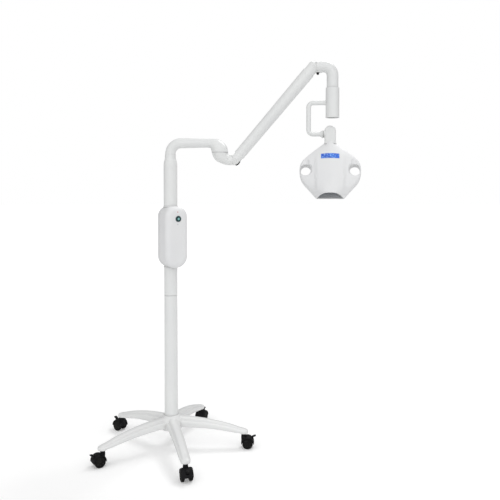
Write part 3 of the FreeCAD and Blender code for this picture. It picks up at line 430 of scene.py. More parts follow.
def applied(made, name):
    """The object's mesh with its modifiers applied, and the object itself gone."""
    bpy.context.view_layer.update()
    graph = bpy.context.evaluated_depsgraph_get()
    mesh = bpy.data.meshes.new_from_object(made.evaluated_get(graph))
    mesh.name = name
    bpy.data.objects.remove(made)
    return mesh


def cast(name, mesh, voxel, smooth=4, factor=0.5):
    """The mesh fused into one skin with softened edges and corners, like a moulded or cast piece."""
    made = object_of(name + "_work", mesh)
    remesh = made.modifiers.new("fuse", "REMESH")
    remesh.mode = "VOXEL"
    remesh.voxel_size = voxel * MM
    soften = made.modifiers.new("soften", "SMOOTH")
    soften.factor = factor
    soften.iterations = smooth
    mesh = applied(made, name)
    for face in mesh.polygons:
        face.use_smooth = True
    return mesh


def carve(name, mesh, cutters):
    """The mesh less each cutter mesh."""
    made = object_of(name + "_work", mesh)
    tools = []
    for i, cutter in enumerate(cutters):
        tool = object_of("%s_tool_%d" % (name, i), cutter)
        tools.append(tool)
        boolean = made.modifiers.new("cut_%d" % i, "BOOLEAN")
        boolean.operation = "DIFFERENCE"
        boolean.solver = "EXACT"
        boolean.object = tool
    mesh = applied(made, name)
    for tool in tools:
        bpy.data.objects.remove(tool)
    return mesh


def piece(name, mesh, body, slot, replaced=(), matrix=None):
    """A named piece on a body. matrix places a mesh that was built in its own frame."""
    if matrix is not None:
        mesh = mesh.copy()
        mesh.transform(in_metres(matrix))
    made = object_of(name, mesh)
    if not mesh.materials:
        mesh.materials.append(MATERIALS[slot])
    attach(made, body)
    if replaced:
        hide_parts(*replaced)
    return made


def in_metres(matrix):
    """The same place for a mesh that is already in metres."""
    made = matrix.copy()
    made.translation = made.translation * MM
    return made


# ---- five-star base ---------------------------------------------------------------------------------------

LEG = (  # distance out, top, bottom, half width
    (0, 121, 80, 25),
    (24, 121, 82, 25.5),
    (50, 119, 83, 24),
    (80, 116.5, 81.5, 22.4),
    (126, 110.2, 78.5, 21.2),
    (170, 102, 73.5, 20.4),
    (215, 91.0, 66.0, 19.6),
    (242, 82.6, 61.0, 19.0),
    (258, 77.0, 59.2, 18.6),
    (270, 74.0, 58.6, 18.0),
    (279, 71.0, 58.4, 16.0),
    (285, 66.4, 58.4, 12.2),
    (289, 61.0, 58.4, 6.5),
)
REACH = 289


def leg_section(half, top, bottom):
    """The casting's cross-section: a crowned ridge, a groove on each shoulder and a flange that tucks in below."""
    height = top - bottom
    shape = (
        (0.0, 1.0), (0.22, 0.994), (0.40, 0.965), (0.52, 0.91), (0.585, 0.82), (0.62, 0.70), (0.66, 0.655),
        (0.74, 0.655), (0.85, 0.625), (0.94, 0.55), (0.99, 0.42), (1.0, 0.28), (0.985, 0.12), (0.93, 0.03),
        (0.82, 0.0), (0.5, -0.005), (0.0, -0.005),
    )
    right = [(a * half, bottom + b * height) for a, b in shape]
    left = [(-a, b) for a, b in reversed(right[1:-1])]
    return right + left


def leg_part():
    tables = [[(row[0], row[k]) for row in LEG] for k in (1, 2, 3)]
    rings = []
    for out in (*range(0, 264, 4), *range(264, REACH + 1)):
        top, bottom, half = [through(table, out) for table in tables]
        rings.append([(out, a, b) for a, b in leg_section(half, top, bottom)])
    return skin(rings)


def make_spider():
    leg = leg_part()
    legs = [moved(leg, turn(72 * i - 1, "Z")) for i in range(5)]
    boss = lathe(rounded([(0.01, 72), (38, 72, 5), (41, 84, 3), (43, 108, 10), (33, 121, 6), (31, 126.2, 1.6),
                          (0.01, 126.2)]))
    toe = lathe(rounded([(0.01, 55.4), (16.4, 55.4, 1.5), (17.2, 60, 1), (16.8, 68.4, 4.5), (0.01, 69)]))
    toes = [moved(toe, caster_place(i)) for i in range(5)]
    mesh = mesh_of("base_spider_skin", joined(boss, *legs, *toes))
    mesh = cast("base_spider_skin", mesh, 1.2, smooth=3)
    piece("base_spider_skin", mesh, "stand", "white_base", ["base_spider"])


# ---- casters, each in its own frame: stem on the Z axis, wheels trailing towards +X -----------------------

AXLE = shift(15, 0, 20) @ TO_Y


def make_casters():
    # hood: a crowned barrel over both wheels, open below the axle
    outline = rounded([(21.25, -20.8), (22.4, -20.8, 0.8), (24.4, -15, 6), (24.4, 15, 6), (22.4, 20.8, 0.8),
                       (21.25, 20.8), (21.25, 7.4, 0.6), (4.2, 7.4), (4.2, -7.4), (21.25, -7.4, 0.6)])
    rings = []
    for k in range(49):
        angle = math.radians(-3 + 186 * k / 48)
        rings.append([(15 + r * math.cos(angle), y, 20 + r * math.sin(angle)) for r, y in outline])
    cover = skin(rings)
    web = moved(lathe(rounded([(0.01, -7.4), (8.8, -7.4, 1), (8.8, 7.4, 1), (0.01, 7.4)]), 48), AXLE)
    shoulder = lathe(rounded([(0.01, 30), (9, 30), (9.4, 44, 2), (8.2, 50, 1.5), (0.01, 50)]), 48)
    brow = prism(rounded([(2, 40), (9, 45.5, 4), (28, 43.5, 6), (38.2, 32, 3), (34, 30, 2), (10, 38, 3)]), -8.6, 8.6,
                 1.4)
    hood_mesh = mesh_of("caster_hood", joined(cover, web, shoulder, brow))
    slot = mesh_of("pedal_slot", prism([(27.5, 29.5), (50, 29.5), (50, 54), (27.5, 54)], -5.7, 5.7))
    pockets = [mesh_of("pocket_%d" % side, moved(lathe([(0.01, side * 7.5), (21.2, side * 7.5), (21.2, side * 30),
                                                        (0.01, side * 30)]), AXLE)) for side in (1, -1)]
    hood_mesh = cast("caster_hood", hood_mesh, 0.6, smooth=3)
    hood_mesh = carve("caster_hood", hood_mesh, [slot, *pockets])
    shade(hood_mesh, 40)
    stem = mesh_of("caster_stem", joined(
        lathe(rounded([(0.01, 49), (5.5, 49), (5.5, 66, 1), (0.01, 66)]), 40),
        lathe(rounded([(0.01, 49.6), (8.6, 49.6, 0.6), (8.6, 54.6, 0.6), (0.01, 54.6)]), 40)))

    # wheels: tread with a shallow centre groove, dished face, hub ring and centre cap
    tread = []
    for side in (1, -1):
        near, far = 8.3, 20.4
        profile = rounded([(3.6, near), (17.6, near, 1), (20, near + 2, 1.2), (20, 13.6, 0.2), (19.55, 14.0, 0.2),
                           (19.55, 14.7, 0.2), (20, 15.1, 0.2), (20, far - 2.4, 2.0), (17.4, far, 1.2),
                           (15.8, far, 0.5), (14.8, far - 1.5, 0.6), (8.6, far - 1.3, 0.8), (7.6, far - 0.1, 0.5),
                           (5.2, far - 0.1, 0.4), (4.7, far - 0.9, 0.2), (0.01, far - 0.9)], 4)
        tread.append(moved(lathe([(r, y * side) for r, y in profile], 80), AXLE))
        cap = rounded([(0.01, far - 1.4), (3.4, far - 1.4), (3.3, far, 0.5), (2.2, far + 0.1, 0.4),
                       (0.01, far + 0.1)], 4)
        tread.append(moved(lathe([(r, y * side) for r, y in cap], 40), AXLE))
        for k in range(6):
            angle = 60 * k + 30
            outline = [(9.0, -0.7), (14.6, -0.7), (14.6, 0.7), (9.0, 0.7)]
            rib = prism(outline, side * (far - 2.2), side * (far - 0.75), 0.2)
            tread.append(moved(rib, shift(15, 0, 20) @ turn(angle, "Y")))
    axle = moved(lathe(rounded([(0.01, -19), (3.4, -19), (3.4, 19), (0.01, 19)]), 32), AXLE)
    wheels_mesh = mesh_of("caster_wheels", joined(*tread, axle))

    # brake pedal: a bent lever with a raised tread on its toe
    lever = rounded([(28.2, 34.4, 1.5), (31.4, 43.6, 3), (36, 46.4, 4), (45.6, 47.9, 1), (46.4, 44.8, 1),
                     (38.5, 42.6, 3), (34.4, 33.8, 1.5)])
    pads = [moved(lathe(rounded([(0.01, -5), (0.75, -5, 0.2), (0.75, 5, 0.2), (0.01, 5)], 3), 16),
                  shift(38.5 + 2.4 * k, 0, 46.95 + 0.28 * k) @ TO_Y) for k in range(3)]
    knuckle = lathe(rounded([(0.01, -5.2), (3.4, -5.2, 0.5), (3.4, 5.2, 0.5), (0.01, 5.2)]), 32)
    knuckle = moved(knuckle, shift(31, 0, 33) @ TO_Y)
    pedal_mesh = mesh_of("caster_pedal", joined(prism(lever, -5.2, 5.2, 0.7), *pads, knuckle))

    for index in range(5):
        place = caster_place(index)
        name = "caster_%d" % index
        piece(name + "_cover", hood_mesh, name, "black_nylon", [name + "_hood"], place)
        piece(name + "_stem", stem, name, "black_nylon", (), place)
        piece(name + "_wheel_pair", wheels_mesh, name + "_wheelset", "black_wheel", [name + "_wheels"], place)
        piece(name + "_lever", pedal_mesh, name + "_brake", "black_nylon", [name + "_pedal"], place)


# ---- column and control box -------------------------------------------------------------------------------


def make_column():
    lower = lathe(rounded([(19, 82), (25, 82), (25, 575.6, 0.7), (19, 575.6)]), 96, loop=True)
    piece("column_lower_tube", mesh_of("column_lower_tube", lower), "stand", "white_paint", ["lower_column"])
    shoulder = rounded([(22, 576.4), (25, 576.4, 0.7), (25, 1064, 18), (23.6, 1074, 9), (20.7, 1083, 3),
                        (19.9, 1085.5, 1), (19.9, 1100, 0.3), (19.35, 1100, 0.2), (19.35, 1060), (22, 1040)])
    piece("column_upper_tube", mesh_of("column_upper_tube", lathe(shoulder, 96, loop=True)), "stand", "white_paint",
          ["upper_column"])


BOX_EDGE = 20


def soap_ring(inset, depth):
    """The control box's outline less an inset, at one depth: straight sides and nearly round ends."""
    half, low, high = 45 - inset, 681 + inset, 908 - inset
    upper, lower = max(38 - inset, 0.5), max(44 - inset, 0.5)
    outline = rounded([(half, low, lower), (half, high, upper), (-half, high, upper), (-half, low, lower)], 14)
    return [(x, depth, z) for x, z in outline]


def eased_rings(face, inward):
    """Rings from a flat face round its rim to the box's full outline. inward is the direction from the face."""
    rings = [soap_ring(38 - 18 * k / 4, face) for k in range(4)]
    for k in range(13):
        angle = math.pi / 2 * k / 12
        rings.append(soap_ring(BOX_EDGE * (1 - math.sin(angle)), face + inward * BOX_EDGE * (1 - math.cos(angle))))
    return rings


def post(radius, low, high, x, z):
    """A cylinder along Y at (x, z)."""
    return moved(lathe([(0.01, low), (radius, low), (radius, high), (0.01, high)], 40), shift(x, 0, z) @ TO_Y)


def make_box():
    front = eased_rings(-62, 1) + [soap_ring(0, -20), soap_ring(0, -1.6), soap_ring(0.15, -0.7), soap_ring(0.9, -0.4)]
    rear = [soap_ring(0.9, 0.4), soap_ring(0.15, 0.7), soap_ring(0, 1.6)] + eased_rings(32, -1)[::-1]
    inlet_room = prism([(30, 740), (50, 740), (50, 766), (30, 766)], -27.5, -8.5)
    cover = carve("box_front_cover", mesh_of("box_front_cover", skin(front)), [mesh_of("inlet_room", inlet_room)])
    shade(cover, 38)
    piece("box_front_cover", cover, "stand", "white_shell", ["box_front_shell"], BOX)
    spots = ((-30, 712), (30, 712), (-30, 884), (30, 884))
    rooms = [mesh_of("screw_room_%d" % i, post(3.4, 16.6, 40, *spot)) for i, spot in enumerate(spots)]
    cover = carve("box_rear_cover", mesh_of("box_rear_cover", skin(rear)), rooms)
    shade(cover, 38)
    piece("box_rear_cover", cover, "stand", "white_shell", ["box_rear_shell"], BOX)
    # soft gaskets where the column passes through the cover
    for name, height in (("box_collar_low", 679.6), ("box_collar_high", 905.6)):
        profile = rounded([(25.0, height), (27.6, height, 1.2), (27.6, height + 3.6, 1.2), (25.0, height + 3.6)])
        ring = lathe(profile, 80, loop=True)
        piece(name, mesh_of(name, ring), "stand", "white_shell")

    button = BOX @ shift(2, 0, 863) @ turn(90, "X")  # the lathe's axis points out of the front
    bezel = lathe(rounded([(6.6, 57), (9.4, 57), (9.4, 61.9), (11.2, 61.9), (11.2, 63.2, 0.7), (9.6, 64.5, 1.0),
                           (7.4, 64.4, 0.5), (6.6, 63.4, 0.3)]), 64, loop=True)
    piece("button_ring", mesh_of("button_ring", bezel, button), "stand", "teal_ring", ["button_bezel"])
    cap = lathe(rounded([(0.01, 58.5), (6.5, 58.5), (6.5, 65.6, 0.8), (4.3, 65.3, 0.3), (4.2, 64.6),
                         (0.01, 64.6)]), 56)
    piece("button_cap", mesh_of("button_cap", cap, button), "power_button", "teal_ring", ["power_button"])
    window = lathe(rounded([(0.01, 64.5), (4.1, 64.5), (4.1, 65.2, 0.3), (0.01, 65.5)]), 48)
    piece("button_window", mesh_of("button_window", window, button), "power_button", "teal_cap")
    lamp = lathe(rounded([(0.01, 57.8), (2, 57.8), (2, 62.4, 0.4), (0.01, 62.8)]), 32)
    lamp_place = BOX @ shift(0, 0, 888) @ turn(90, "X")
    piece("status_window", mesh_of("status_window", lamp, lamp_place), "stand", "red_lamp", ["status_lamp"])
    mark = lathe(rounded([(0.01, 61.6), (1.5, 61.6), (1.5, 62.2, 0.2), (0.01, 62.3)]), 24)
    piece("sensor_dot", mesh_of("sensor_dot", mark, BOX @ shift(0, 0, 843) @ turn(90, "X")), "stand", "grey_nozzle")


# ---- arms, wrist and bracket ------------------------------------------------------------------------------


LOW_PIVOT = (240, 1079)
HIGH_PIVOT = (529.3, 1422.5)


def bent_cone(stations_of, steps=48, segments=72):
    """A casting round a curved axis in the plane y=0, through (x, z, radius, tilt) stations.

    tilt is the angle between the +X axis and the direction in which the section's circle lies.
    """
    last = len(stations_of) - 1
    tables = [[(i, row[k]) for i, row in enumerate(stations_of)] for k in range(4)]
    rings = []
    for step in range(steps + 1):
        x, z, radius, tilt = [through(table, last * step / steps) for table in tables]
        a, b = math.cos(math.radians(tilt)) * radius, math.sin(math.radians(tilt)) * radius
        ring = []
        for k in range(segments):
            angle = 2 * math.pi * k / segments
            ring.append((x + a * math.cos(angle), radius * math.sin(angle), z + b * math.cos(angle)))
        rings.append(ring)
    return skin(rings)


def pivot_room(radius, pivot, angle):
    """The room that the spring arm's round end takes at a pivot when its tube leaves at the angle."""
    profile = [(0.01, -radius)]
    for k in range(1, 17):
        polar = math.pi / 2 * k / 16
        profile.append((radius * math.sin(polar), -radius * math.cos(polar)))
    profile += [(radius, 70), (0.01, 70)]
    return moved(lathe(profile, 64), shift(pivot[0], 0, pivot[1]) @ turn(90 - angle, "Y"))


def half_disc(pivot, radius, start, rest):
    """A half-round outline in the XZ plane that starts at an angle and goes on through the rest points."""
    angles = [start + math.pi * k / 20 for k in range(21)]
    return [(pivot[0] + radius * math.cos(a), pivot[1] + radius * math.sin(a)) for a in angles] + rest


def make_arms():
    path = dense(rounded([(0, 956.1), (0, 1142, 40), (140, 1142)], 22), 4)
    tube = sweep(path, stations([(0, 19), (0.62, 19), (1.0, 16.4)]), 72)
    piece("first_arm", mesh_of("first_arm", tube), "first_arm", "white_paint", ["first_arm_tube"])

    elbow = bent_cone([(139.4, 1142, 16.6, 90), (152, 1140.6, 17.8, 84), (168, 1135.8, 24.6, 46),
                       (180.5, 1123, 29.4, 19), (184.3, 1108.4, 30.4, 0)])
    piece("elbow_upper_half", mesh_of("elbow_upper_half", elbow), "first_arm", "white_paint", ["top_elbow"])
    bowl = bent_cone([(184.3, 1107.0, 30.4, 0), (187, 1097, 28, 10), (193.5, 1088.2, 25.2, 27), (205.5, 1082, 21, 47),
                      (218, 1079.6, 18.7, 84), (232, 1079.2, 18.5, 90)])
    bowl = carve("elbow_lower_half", mesh_of("elbow_lower_half", bowl),
                 [mesh_of("low_room", pivot_room(20.7, LOW_PIVOT, 62.5))])
    shade(bowl, 50)
    piece("elbow_lower_half", bowl, "elbow", "white_paint", ["lower_elbow"])
    spindle = lathe(rounded([(0.01, 1106), (10, 1106), (10, 1133, 1), (0.01, 1133)]), 40)
    piece("elbow_spindle", mesh_of("elbow_spindle", moved(spindle, shift(184.3, 0, 0))), "elbow", "white_paint")
    eye = prism(half_disc(LOW_PIVOT, 18.2, -math.pi / 2, [(216, 1097.2), (216, 1060.8)]), -10.75, 10.75, 0.5)
    slot = mesh_of("elbow_slot", prism([(236.5, 1050), (270, 1050), (270, 1103), (236.5, 1103)], -3.3, 3.3))
    pad = [(LOW_PIVOT[0] + r * math.cos(math.radians(a)), LOW_PIVOT[1] + r * math.sin(math.radians(a)))
           for r, angles in ((15.2, range(-80, -11, 4)), (21, range(-12, -81, -4))) for a in angles]
    eye_mesh = carve("elbow_eye", mesh_of("elbow_eye", eye), [slot, mesh_of("elbow_pad_room", prism(pad, -13, 13))])
    shade(eye_mesh, 38)
    piece("elbow_eye", eye_mesh, "elbow", "white_paint")
    plug = lathe(rounded([(0.01, -2), (3.2, -2), (3.2, 1.0, 0.5), (1.9, 1.1, 0.2), (1.4, 0.4, 0.2), (0.01, 0.4)]), 32)
    plug_place = shift(212, -19.2, 1083) @ turn(100, "X")
    piece("elbow_plug", mesh_of("elbow_plug", plug, plug_place), "elbow", "white_paint")

    for name, pivot, low, high in (("low", LOW_PIVOT, 17.0, 19.5), ("high", HIGH_PIVOT, 20.0, 22.5)):
        disc = lathe(rounded([(0.01, low), (4.95, low), (4.95, high, 0.5), (0.01, high + 0.2)], 4), 40)
        caps = joined(moved(disc, TO_Y), moved(disc, turn(90, "X")))
        piece("pivot_caps_" + name, mesh_of("pivot_caps_" + name, moved(caps, shift(pivot[0], 0, pivot[1]))),
              "spring_arm", "white_paint")

    drop = dense(rounded([(539.5, 1425.3), (602, 1425.3, 33.5), (602, 1348.0)], 22), 3)
    wrist = sweep(drop, stations([(0, 21.4), (1, 21.4)]), 72)
    wrist_mesh = carve("wrist_bend", mesh_of("wrist_bend", wrist),
                       [mesh_of("high_room", pivot_room(23.6, HIGH_PIVOT, 242.5))])
    shade(wrist_mesh, 50)
    piece("wrist_bend", wrist_mesh, "wrist", "white_paint", ["wrist_elbow"])
    spigot = lathe(rounded([(0.01, 1240.5), (17.5, 1240.5, 1), (17.5, 1352), (0.01, 1352)]), 56)
    piece("wrist_spigot", mesh_of("wrist_spigot", moved(spigot, shift(602, 0, 0))), "wrist", "zinc_steel")
    tongue = prism(half_disc(HIGH_PIVOT, 20.9, math.pi / 2, [(563, 1403.9), (563, 1444.6)]), -10.75, 10.75, 0.5)
    wrist_slot = mesh_of("wrist_slot", prism([(495, 1388), (539, 1388), (539, 1448), (495, 1448)], -3.3, 3.3))
    tongue = carve("wrist_eye", mesh_of("wrist_eye", tongue), [wrist_slot])
    shade(tongue, 38)
    piece("wrist_eye", tongue, "wrist", "white_paint")


def make_yoke():
    barrel = lathe(rounded([(21.5, 1236.3, 0.8), (25.9, 1236.1, 1.2), (25.8, 1239.8, 0.8), (24.7, 1240.4, 0.3),
                            (24.7, 1241.2, 0.3), (25, 1241.8, 0.4), (25, 1347.2, 1.2), (22.2, 1347.3, 0.6),
                            (21.5, 1345)]), 88, loop=True)
    piece("sleeve_tube", mesh_of("sleeve_tube", barrel, YOKE), "yoke", "white_paint", ["swivel_sleeve"])
    path = dense(rounded([(-24.2, 1292), (-88, 1292, 17), (-88, 1176, 17), (-47, 1176)], 18), 3)
    bar = sweep(path, stations([(0, 8.7), (1, 8.7)]), 48)
    foot = lathe(rounded([(0.01, -6), (8.7, -6, 6), (9.6, 0, 6), (14.8, 5.2, 0.7), (15, 8.5, 0.5), (0.01, 8.5)]), 56)
    foot = moved(foot, shift(-43, 0, 1176) @ TO_X)
    weld = moved(lathe(rounded([(0.01, -1), (10.6, -1, 1.5), (9.6, 2.5, 1.5), (8.8, 3.6, 0.5), (0.01, 3.6)]), 48),
                 shift(-23.9, 0, 1292) @ turn(-90, "Y"))
    mesh = cast("bracket_bar", mesh_of("bracket_bar", joined(bar, foot, weld), YOKE), 0.8, smooth=3)
    piece("bracket_bar", mesh, "yoke", "white_paint", ["c_bracket"])


# ---- lamp head --------------------------------------------------------------------------------------------

HALF_WIDTHS = (  # drop in the head's frame, half width of the outline
    (27, 22.9), (32, 25.0), (37, 31.0), (41, 36.5), (61, 60.5), (75, 76.5), (86, 88.4), (98, 99.4), (110, 106.2),
    (122, 109.6), (134, 110.8), (146, 110.7), (157, 109.4), (169, 106.3), (181, 101.2), (193, 93.0), (204, 83.6),
    (216, 73.2), (227, 63.7), (238, 54.4), (243, 50.3),
)
CROWNS = ((27, -17.8), (45, -21), (70, -25), (130, -31.5), (190, -35.0), (243, -35.9))
MIDDLES = ((27, 24), (70, 47), (120, 53), (200, 51), (243, 50))
HEAD_END = 243


def smooth_step(value, low, high):
    t = min(max((value - low) / (high - low), 0.0), 1.0)
    return t * t * (3 - 2 * t)


def front_depth(x, drop):
    """How far forward the head's face lies (its y) at a point, before its rim is rolled over.

    A wide shallow dome from the crown to the rim, with the middle standing a little proud of the wings. Towards
    the outlet the dome deepens until it meets the back in a half round.
    """
    half = through(HALF_WIDTHS, drop)
    crown, middle = through(CROWNS, drop), through(MIDDLES, drop)
    ending = smooth_step(drop, 196, HEAD_END)
    proud = 4.5 * (1 - ending) * smooth_step(drop, 60, 120)
    rim = -4 + 19 * ending
    share = min(abs(x) / half, 1.0)
    dome = crown + proud + (rim - crown - proud) * share ** (1.5 + 1.5 * ending)
    return dome - proud * (1 - smooth_step(abs(x), middle - 5, middle + 4))


def head_ring(drop):
    half = through(HALF_WIDTHS, drop)
    roll = 7.5 - 4.5 * smooth_step(drop, 200, HEAD_END)
    count = 44
    ring = []
    for side, last in ((1, count + 1), (-1, count)):
        for k in range(0 if side == 1 else 1, last):
            angle = side * (-math.pi / 2 + math.pi * k / count)
            x = half * math.sin(angle)
            inside = min((half - abs(x)) / roll, 1)
            rolled = roll * 0.95 * (1 - math.sqrt(max(1 - (1 - inside) ** 2, 0)))
            y = front_depth(x, drop) + rolled if side == 1 else 23.9 - rolled
            ring.append((x, y, -drop))
    return ring


def d_outline(inset, count=40):
    """The outlet's section at the head's lower end, less an inset: a flat back under a half-round front."""
    half = 50.3 - inset
    front = []
    for k in range(count + 1):
        x = -half + 2 * half * k / count
        front.append((x, min(front_depth(x * 50.3 / half, HEAD_END) + inset * 1.1, 23.4 - inset)))
    return front + [(half, 24 - inset), (-half, 24 - inset)]


def d_prism(inset, top, bottom):
    """A block of the outlet's section between two drops."""
    outline = d_outline(inset)
    return skin([[(x, y, -bottom) for x, y in outline], [(x, y, -top) for x, y in outline]])


def hole_cutter(side):
    """A finger hole: a straight slot that flares at both faces."""
    middle = side * 88.5
    rings = []
    flare = ((-26, 10), (-15, 5.2), (-10.5, 2.0), (-7, 0.4), (4, 0), (18, 0), (21.5, 0.6), (24, 2.2), (30, 6))
    for depth, grow in flare:
        r = 18 + grow
        ring = []
        for k in range(48):
            angle = 2 * math.pi * k / 48
            lift = -135.5 if math.sin(angle) >= 0 else -144
            ring.append((middle + r * math.cos(angle), depth, lift + r * math.sin(angle)))
        rings.append(ring)
    return skin(rings)


def scoop_cutter(side):
    """The shallow scoop that leads a finger from the shoulder into its hole."""
    centre = Vector((side * 90, -20, -110))
    rings = []
    for i in range(1, 24):
        polar = math.pi * i / 24
        ring = []
        for k in range(40):
            angle = 2 * math.pi * k / 40
            ring.append((centre.x + 17 * math.sin(polar) * math.cos(angle),
                         centre.y + 15.5 * math.sin(polar) * math.sin(angle), centre.z + 27 * math.cos(polar)))
        rings.append(ring)
    return skin(rings)


def half_mesh(name, mesh, level, keep_front):
    """The part of a head-frame mesh in front of or behind one depth, closed along the cut."""
    work = bmesh.new()
    work.from_mesh(mesh)
    everything = work.verts[:] + work.edges[:] + work.faces[:]
    cut = bmesh.ops.bisect_plane(work, geom=everything, plane_co=(0, level * MM, 0), plane_no=(0, 1, 0),
                                 clear_outer=keep_front, clear_inner=not keep_front)
    edges = [e for e in cut["geom_cut"] if isinstance(e, bmesh.types.BMEdge)]
    bmesh.ops.triangle_fill(work, edges=edges, use_beauty=True)
    bmesh.ops.recalc_face_normals(work, faces=work.faces)
    made = bpy.data.meshes.new(name)
    work.to_mesh(made)
    work.free()
    shade(made, 50)
    return made


def make_neck():
    """The rounded post between the bracket's foot and the head, domed on top and let in at its free side."""
    half, low, high, radius = 20.9, -15.9, 16.9, 8
    rings = []
    for face, inward in ((low, 1), (high, -1)):
        side = []
        for k in range(9):
            angle = math.pi / 2 * k / 8
            inset, depth = radius * (1 - math.sin(angle)), face + inward * radius * (1 - math.cos(angle))
            r = half - inset
            arch = [(r * math.cos(math.pi * j / 32), 10 + r * math.sin(math.pi * j / 32)) for j in range(33)]
            side.append([(x, depth, z) for x, z in arch + [(-r, -48), (r, -48)]])
        rings += side if inward == 1 else side[::-1]
    boss = moved(lathe(rounded([(0.01, -25.3), (13.4, -25.3, 1.5), (13.4, -15), (0.01, -15)], 6), 56), TO_X)
    neck = cast("head_neck", mesh_of("head_neck", joined(skin(rings), boss)), 0.8, smooth=2)
    room = mesh_of("cap_room", moved(lathe([(0.01, 14.7), (12, 14.7), (12, 40), (0.01, 40)], 56), TO_X))
    neck = carve("head_neck", neck, [room])
    shade(neck, 45)
    piece("head_neck", neck, "head", "white_cast", ["neck_knuckle"], NECK)


def make_badge():
    across, down = 24, 8
    top, bottom, half = 83, 103.5, 33
    rings = []
    for i in range(down + 1):
        drop = top + (bottom - top) * i / down
        row = [-half + 2 * half * k / across for k in range(across + 1)]
        outer = [(x, front_depth(x, drop) - 0.55, -drop) for x in row]
        inner = [(x, front_depth(x, drop) + 0.6, -drop) for x in row]
        rings.append(outer + inner[::-1])
    piece("head_badge", mesh_of("head_badge", skin(rings)), "head", "blue_label", ["head_label"], HEAD)


def make_head():
    drops = [27 + (HEAD_END - 27) * i / 92 for i in range(93)]
    body = mesh_of("head_form", skin([head_ring(d) for d in drops]))
    cutters = [mesh_of("hole_left", hole_cutter(-1)), mesh_of("hole_right", hole_cutter(1)),
               mesh_of("scoop_left", scoop_cutter(-1)), mesh_of("scoop_right", scoop_cutter(1)),
               mesh_of("mouth", d_prism(3, 204, 250))]
    body = carve("head_form", body, cutters)
    body = cast("head_form", body, 0.9, smooth=4)
    room = mesh_of("neck_room", prism([(-21.1, -39.4), (21.1, -39.4), (21.1, 5), (-21.1, 5)], -16.1, 17.1))
    spots = ((-60, -96), (60, -96), (-56, -196), (56, -196))
    rooms = [mesh_of("head_screw_room_%d" % i, post(3.3, 20.5, 30, *spot)) for i, spot in enumerate(spots)]
    body = carve("head_form", body, [room, *rooms])
    piece("head_front_cover", half_mesh("head_front_cover", body, 9.8, True), "head", "white_shell",
          ["head_front_shell"], HEAD)
    piece("head_back_cover", half_mesh("head_back_cover", body, 10.2, False), "head", "white_shell",
          ["head_back_shell"], HEAD)
    rim = carve("outlet_rim", mesh_of("outlet_rim", d_prism(3.3, 206, 241.6)),
                [mesh_of("outlet_rim_bore", d_prism(5.6, 200, 250))])
    shade(rim, 38)
    piece("outlet_rim", rim, "head", "grey_nozzle", ["nozzle_rim"], HEAD)
    piece("outlet_window", mesh_of("outlet_window", d_prism(5.8, 218, 220.4)), "head", "clear_lens",
          ["outlet_lens"], HEAD)


make_spider()
make_casters()
make_column()
make_box()
make_arms()
make_yoke()
make_neck()
make_badge()
make_head()


# ---- camera, floor and light ------------------------------------------------------------------------------

CAMERA_PLACE = (0.296, -2.3451, 0.9807)
CAMERA_DIP = 1.67  # degrees below level
camera_data = bpy.data.cameras.new("camera")
camera_data.lens = 45.32
camera_data.sensor_width = 36.0
camera_data.shift_y = -0.09
camera_data.clip_end = 50
camera = bpy.data.objects.new("camera", camera_data)
camera.location = CAMERA_PLACE
camera.rotation_euler = (math.radians(90 - CAMERA_DIP), 0, 0)
scene.collection.objects.link(camera)
scene.camera = camera

SIDE = 30.0  # half the floor's width, in metres
floor_mesh = bpy.data.meshes.new("floor")
floor_mesh.from_pydata([(-SIDE, -SIDE, 0), (SIDE, -SIDE, 0), (SIDE, SIDE, 0), (-SIDE, SIDE, 0)], [], [(0, 1, 2, 3)])
floor = object_of("floor", floor_mesh)
floor_material, floor_tree, floor_bsdf = shader("floor_white")
floor_bsdf.inputs["Base Color"].default_value = (0.92, 0.92, 0.92, 1)
floor_bsdf.inputs["Roughness"].default_value = 1.0
floor_bsdf.inputs["Specular IOR Level"].default_value = 0.0
floor_mesh.materials.append(floor_material)
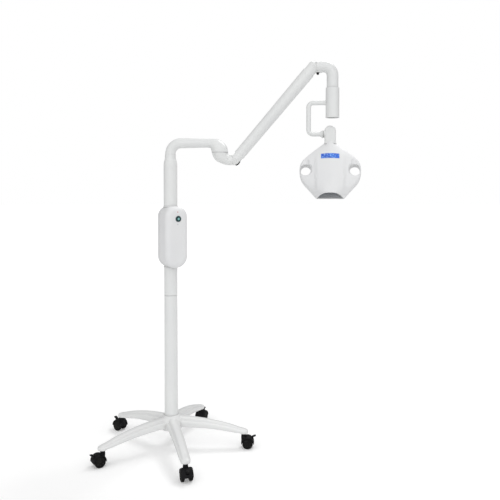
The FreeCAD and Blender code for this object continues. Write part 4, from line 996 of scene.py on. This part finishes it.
# the floor brightens away from the lamp so that it runs into the white backdrop without an edge
away = add(floor_tree, "VectorMath", operation="LENGTH")
floor_tree.links.new(add(floor_tree, "TexCoord").outputs["Object"], away.inputs[0])
seen = add(floor_tree, "Math", operation="MULTIPLY")
floor_tree.links.new(ramp(floor_tree, away.outputs["Value"], 0.5, 3.0, 0.18, 0.6), seen.inputs[0])
floor_tree.links.new(add(floor_tree, "LightPath").outputs["Is Camera Ray"], seen.inputs[1])
floor_tree.links.new(seen.outputs[0], floor_bsdf.inputs["Emission Strength"])
floor_bsdf.inputs["Emission Color"].default_value = (1, 1, 1, 1)


def make_world():
    """A white tent: bright from above and in front, dimmer at the sides, plain white to the camera."""
    world = bpy.data.worlds.new("tent")
    world.use_nodes = True
    tree = world.node_tree
    background = tree.nodes["Background"]
    background.inputs["Color"].default_value = (1, 1, 1, 1)
    coordinates = add(tree, "TexCoord")
    parts = add(tree, "SeparateXYZ")
    tree.links.new(coordinates.outputs["Generated"], parts.inputs[0])
    above = ramp(tree, parts.outputs["Z"], 0.0, 1.0, 0.0, 0.42)
    ahead = ramp(tree, parts.outputs["Y"], -1.0, 0.0, 1.1, 0.0)
    total = add(tree, "Math", operation="ADD")
    tree.links.new(above, total.inputs[0])
    tree.links.new(ahead, total.inputs[1])
    level = add(tree, "Math", operation="ADD")
    tree.links.new(total.outputs[0], level.inputs[0])
    level.inputs[1].default_value = 0.23
    path = add(tree, "LightPath")
    chosen = add(tree, "Mix", data_type="FLOAT")
    tree.links.new(path.outputs["Is Camera Ray"], chosen.inputs["Factor"])
    tree.links.new(level.outputs[0], chosen.inputs[2])
    chosen.inputs[3].default_value = 1.0
    tree.links.new(chosen.outputs[0], background.inputs["Strength"])
    scene.world = world


make_world()
scene.view_settings.view_transform = "Standard"


def area_light(name, place, target, size, energy):
    light = bpy.data.lights.new(name, "AREA")
    light.energy = energy
    light.size = size
    made = bpy.data.objects.new(name, light)
    made.location = place
    made.rotation_euler = (Vector(target) - Vector(place)).to_track_quat("-Z", "Y").to_euler()
    scene.collection.objects.link(made)


area_light("key", (1.2, 1.1, 3.0), (0.2, 0, 0.3), 1.0, 25)
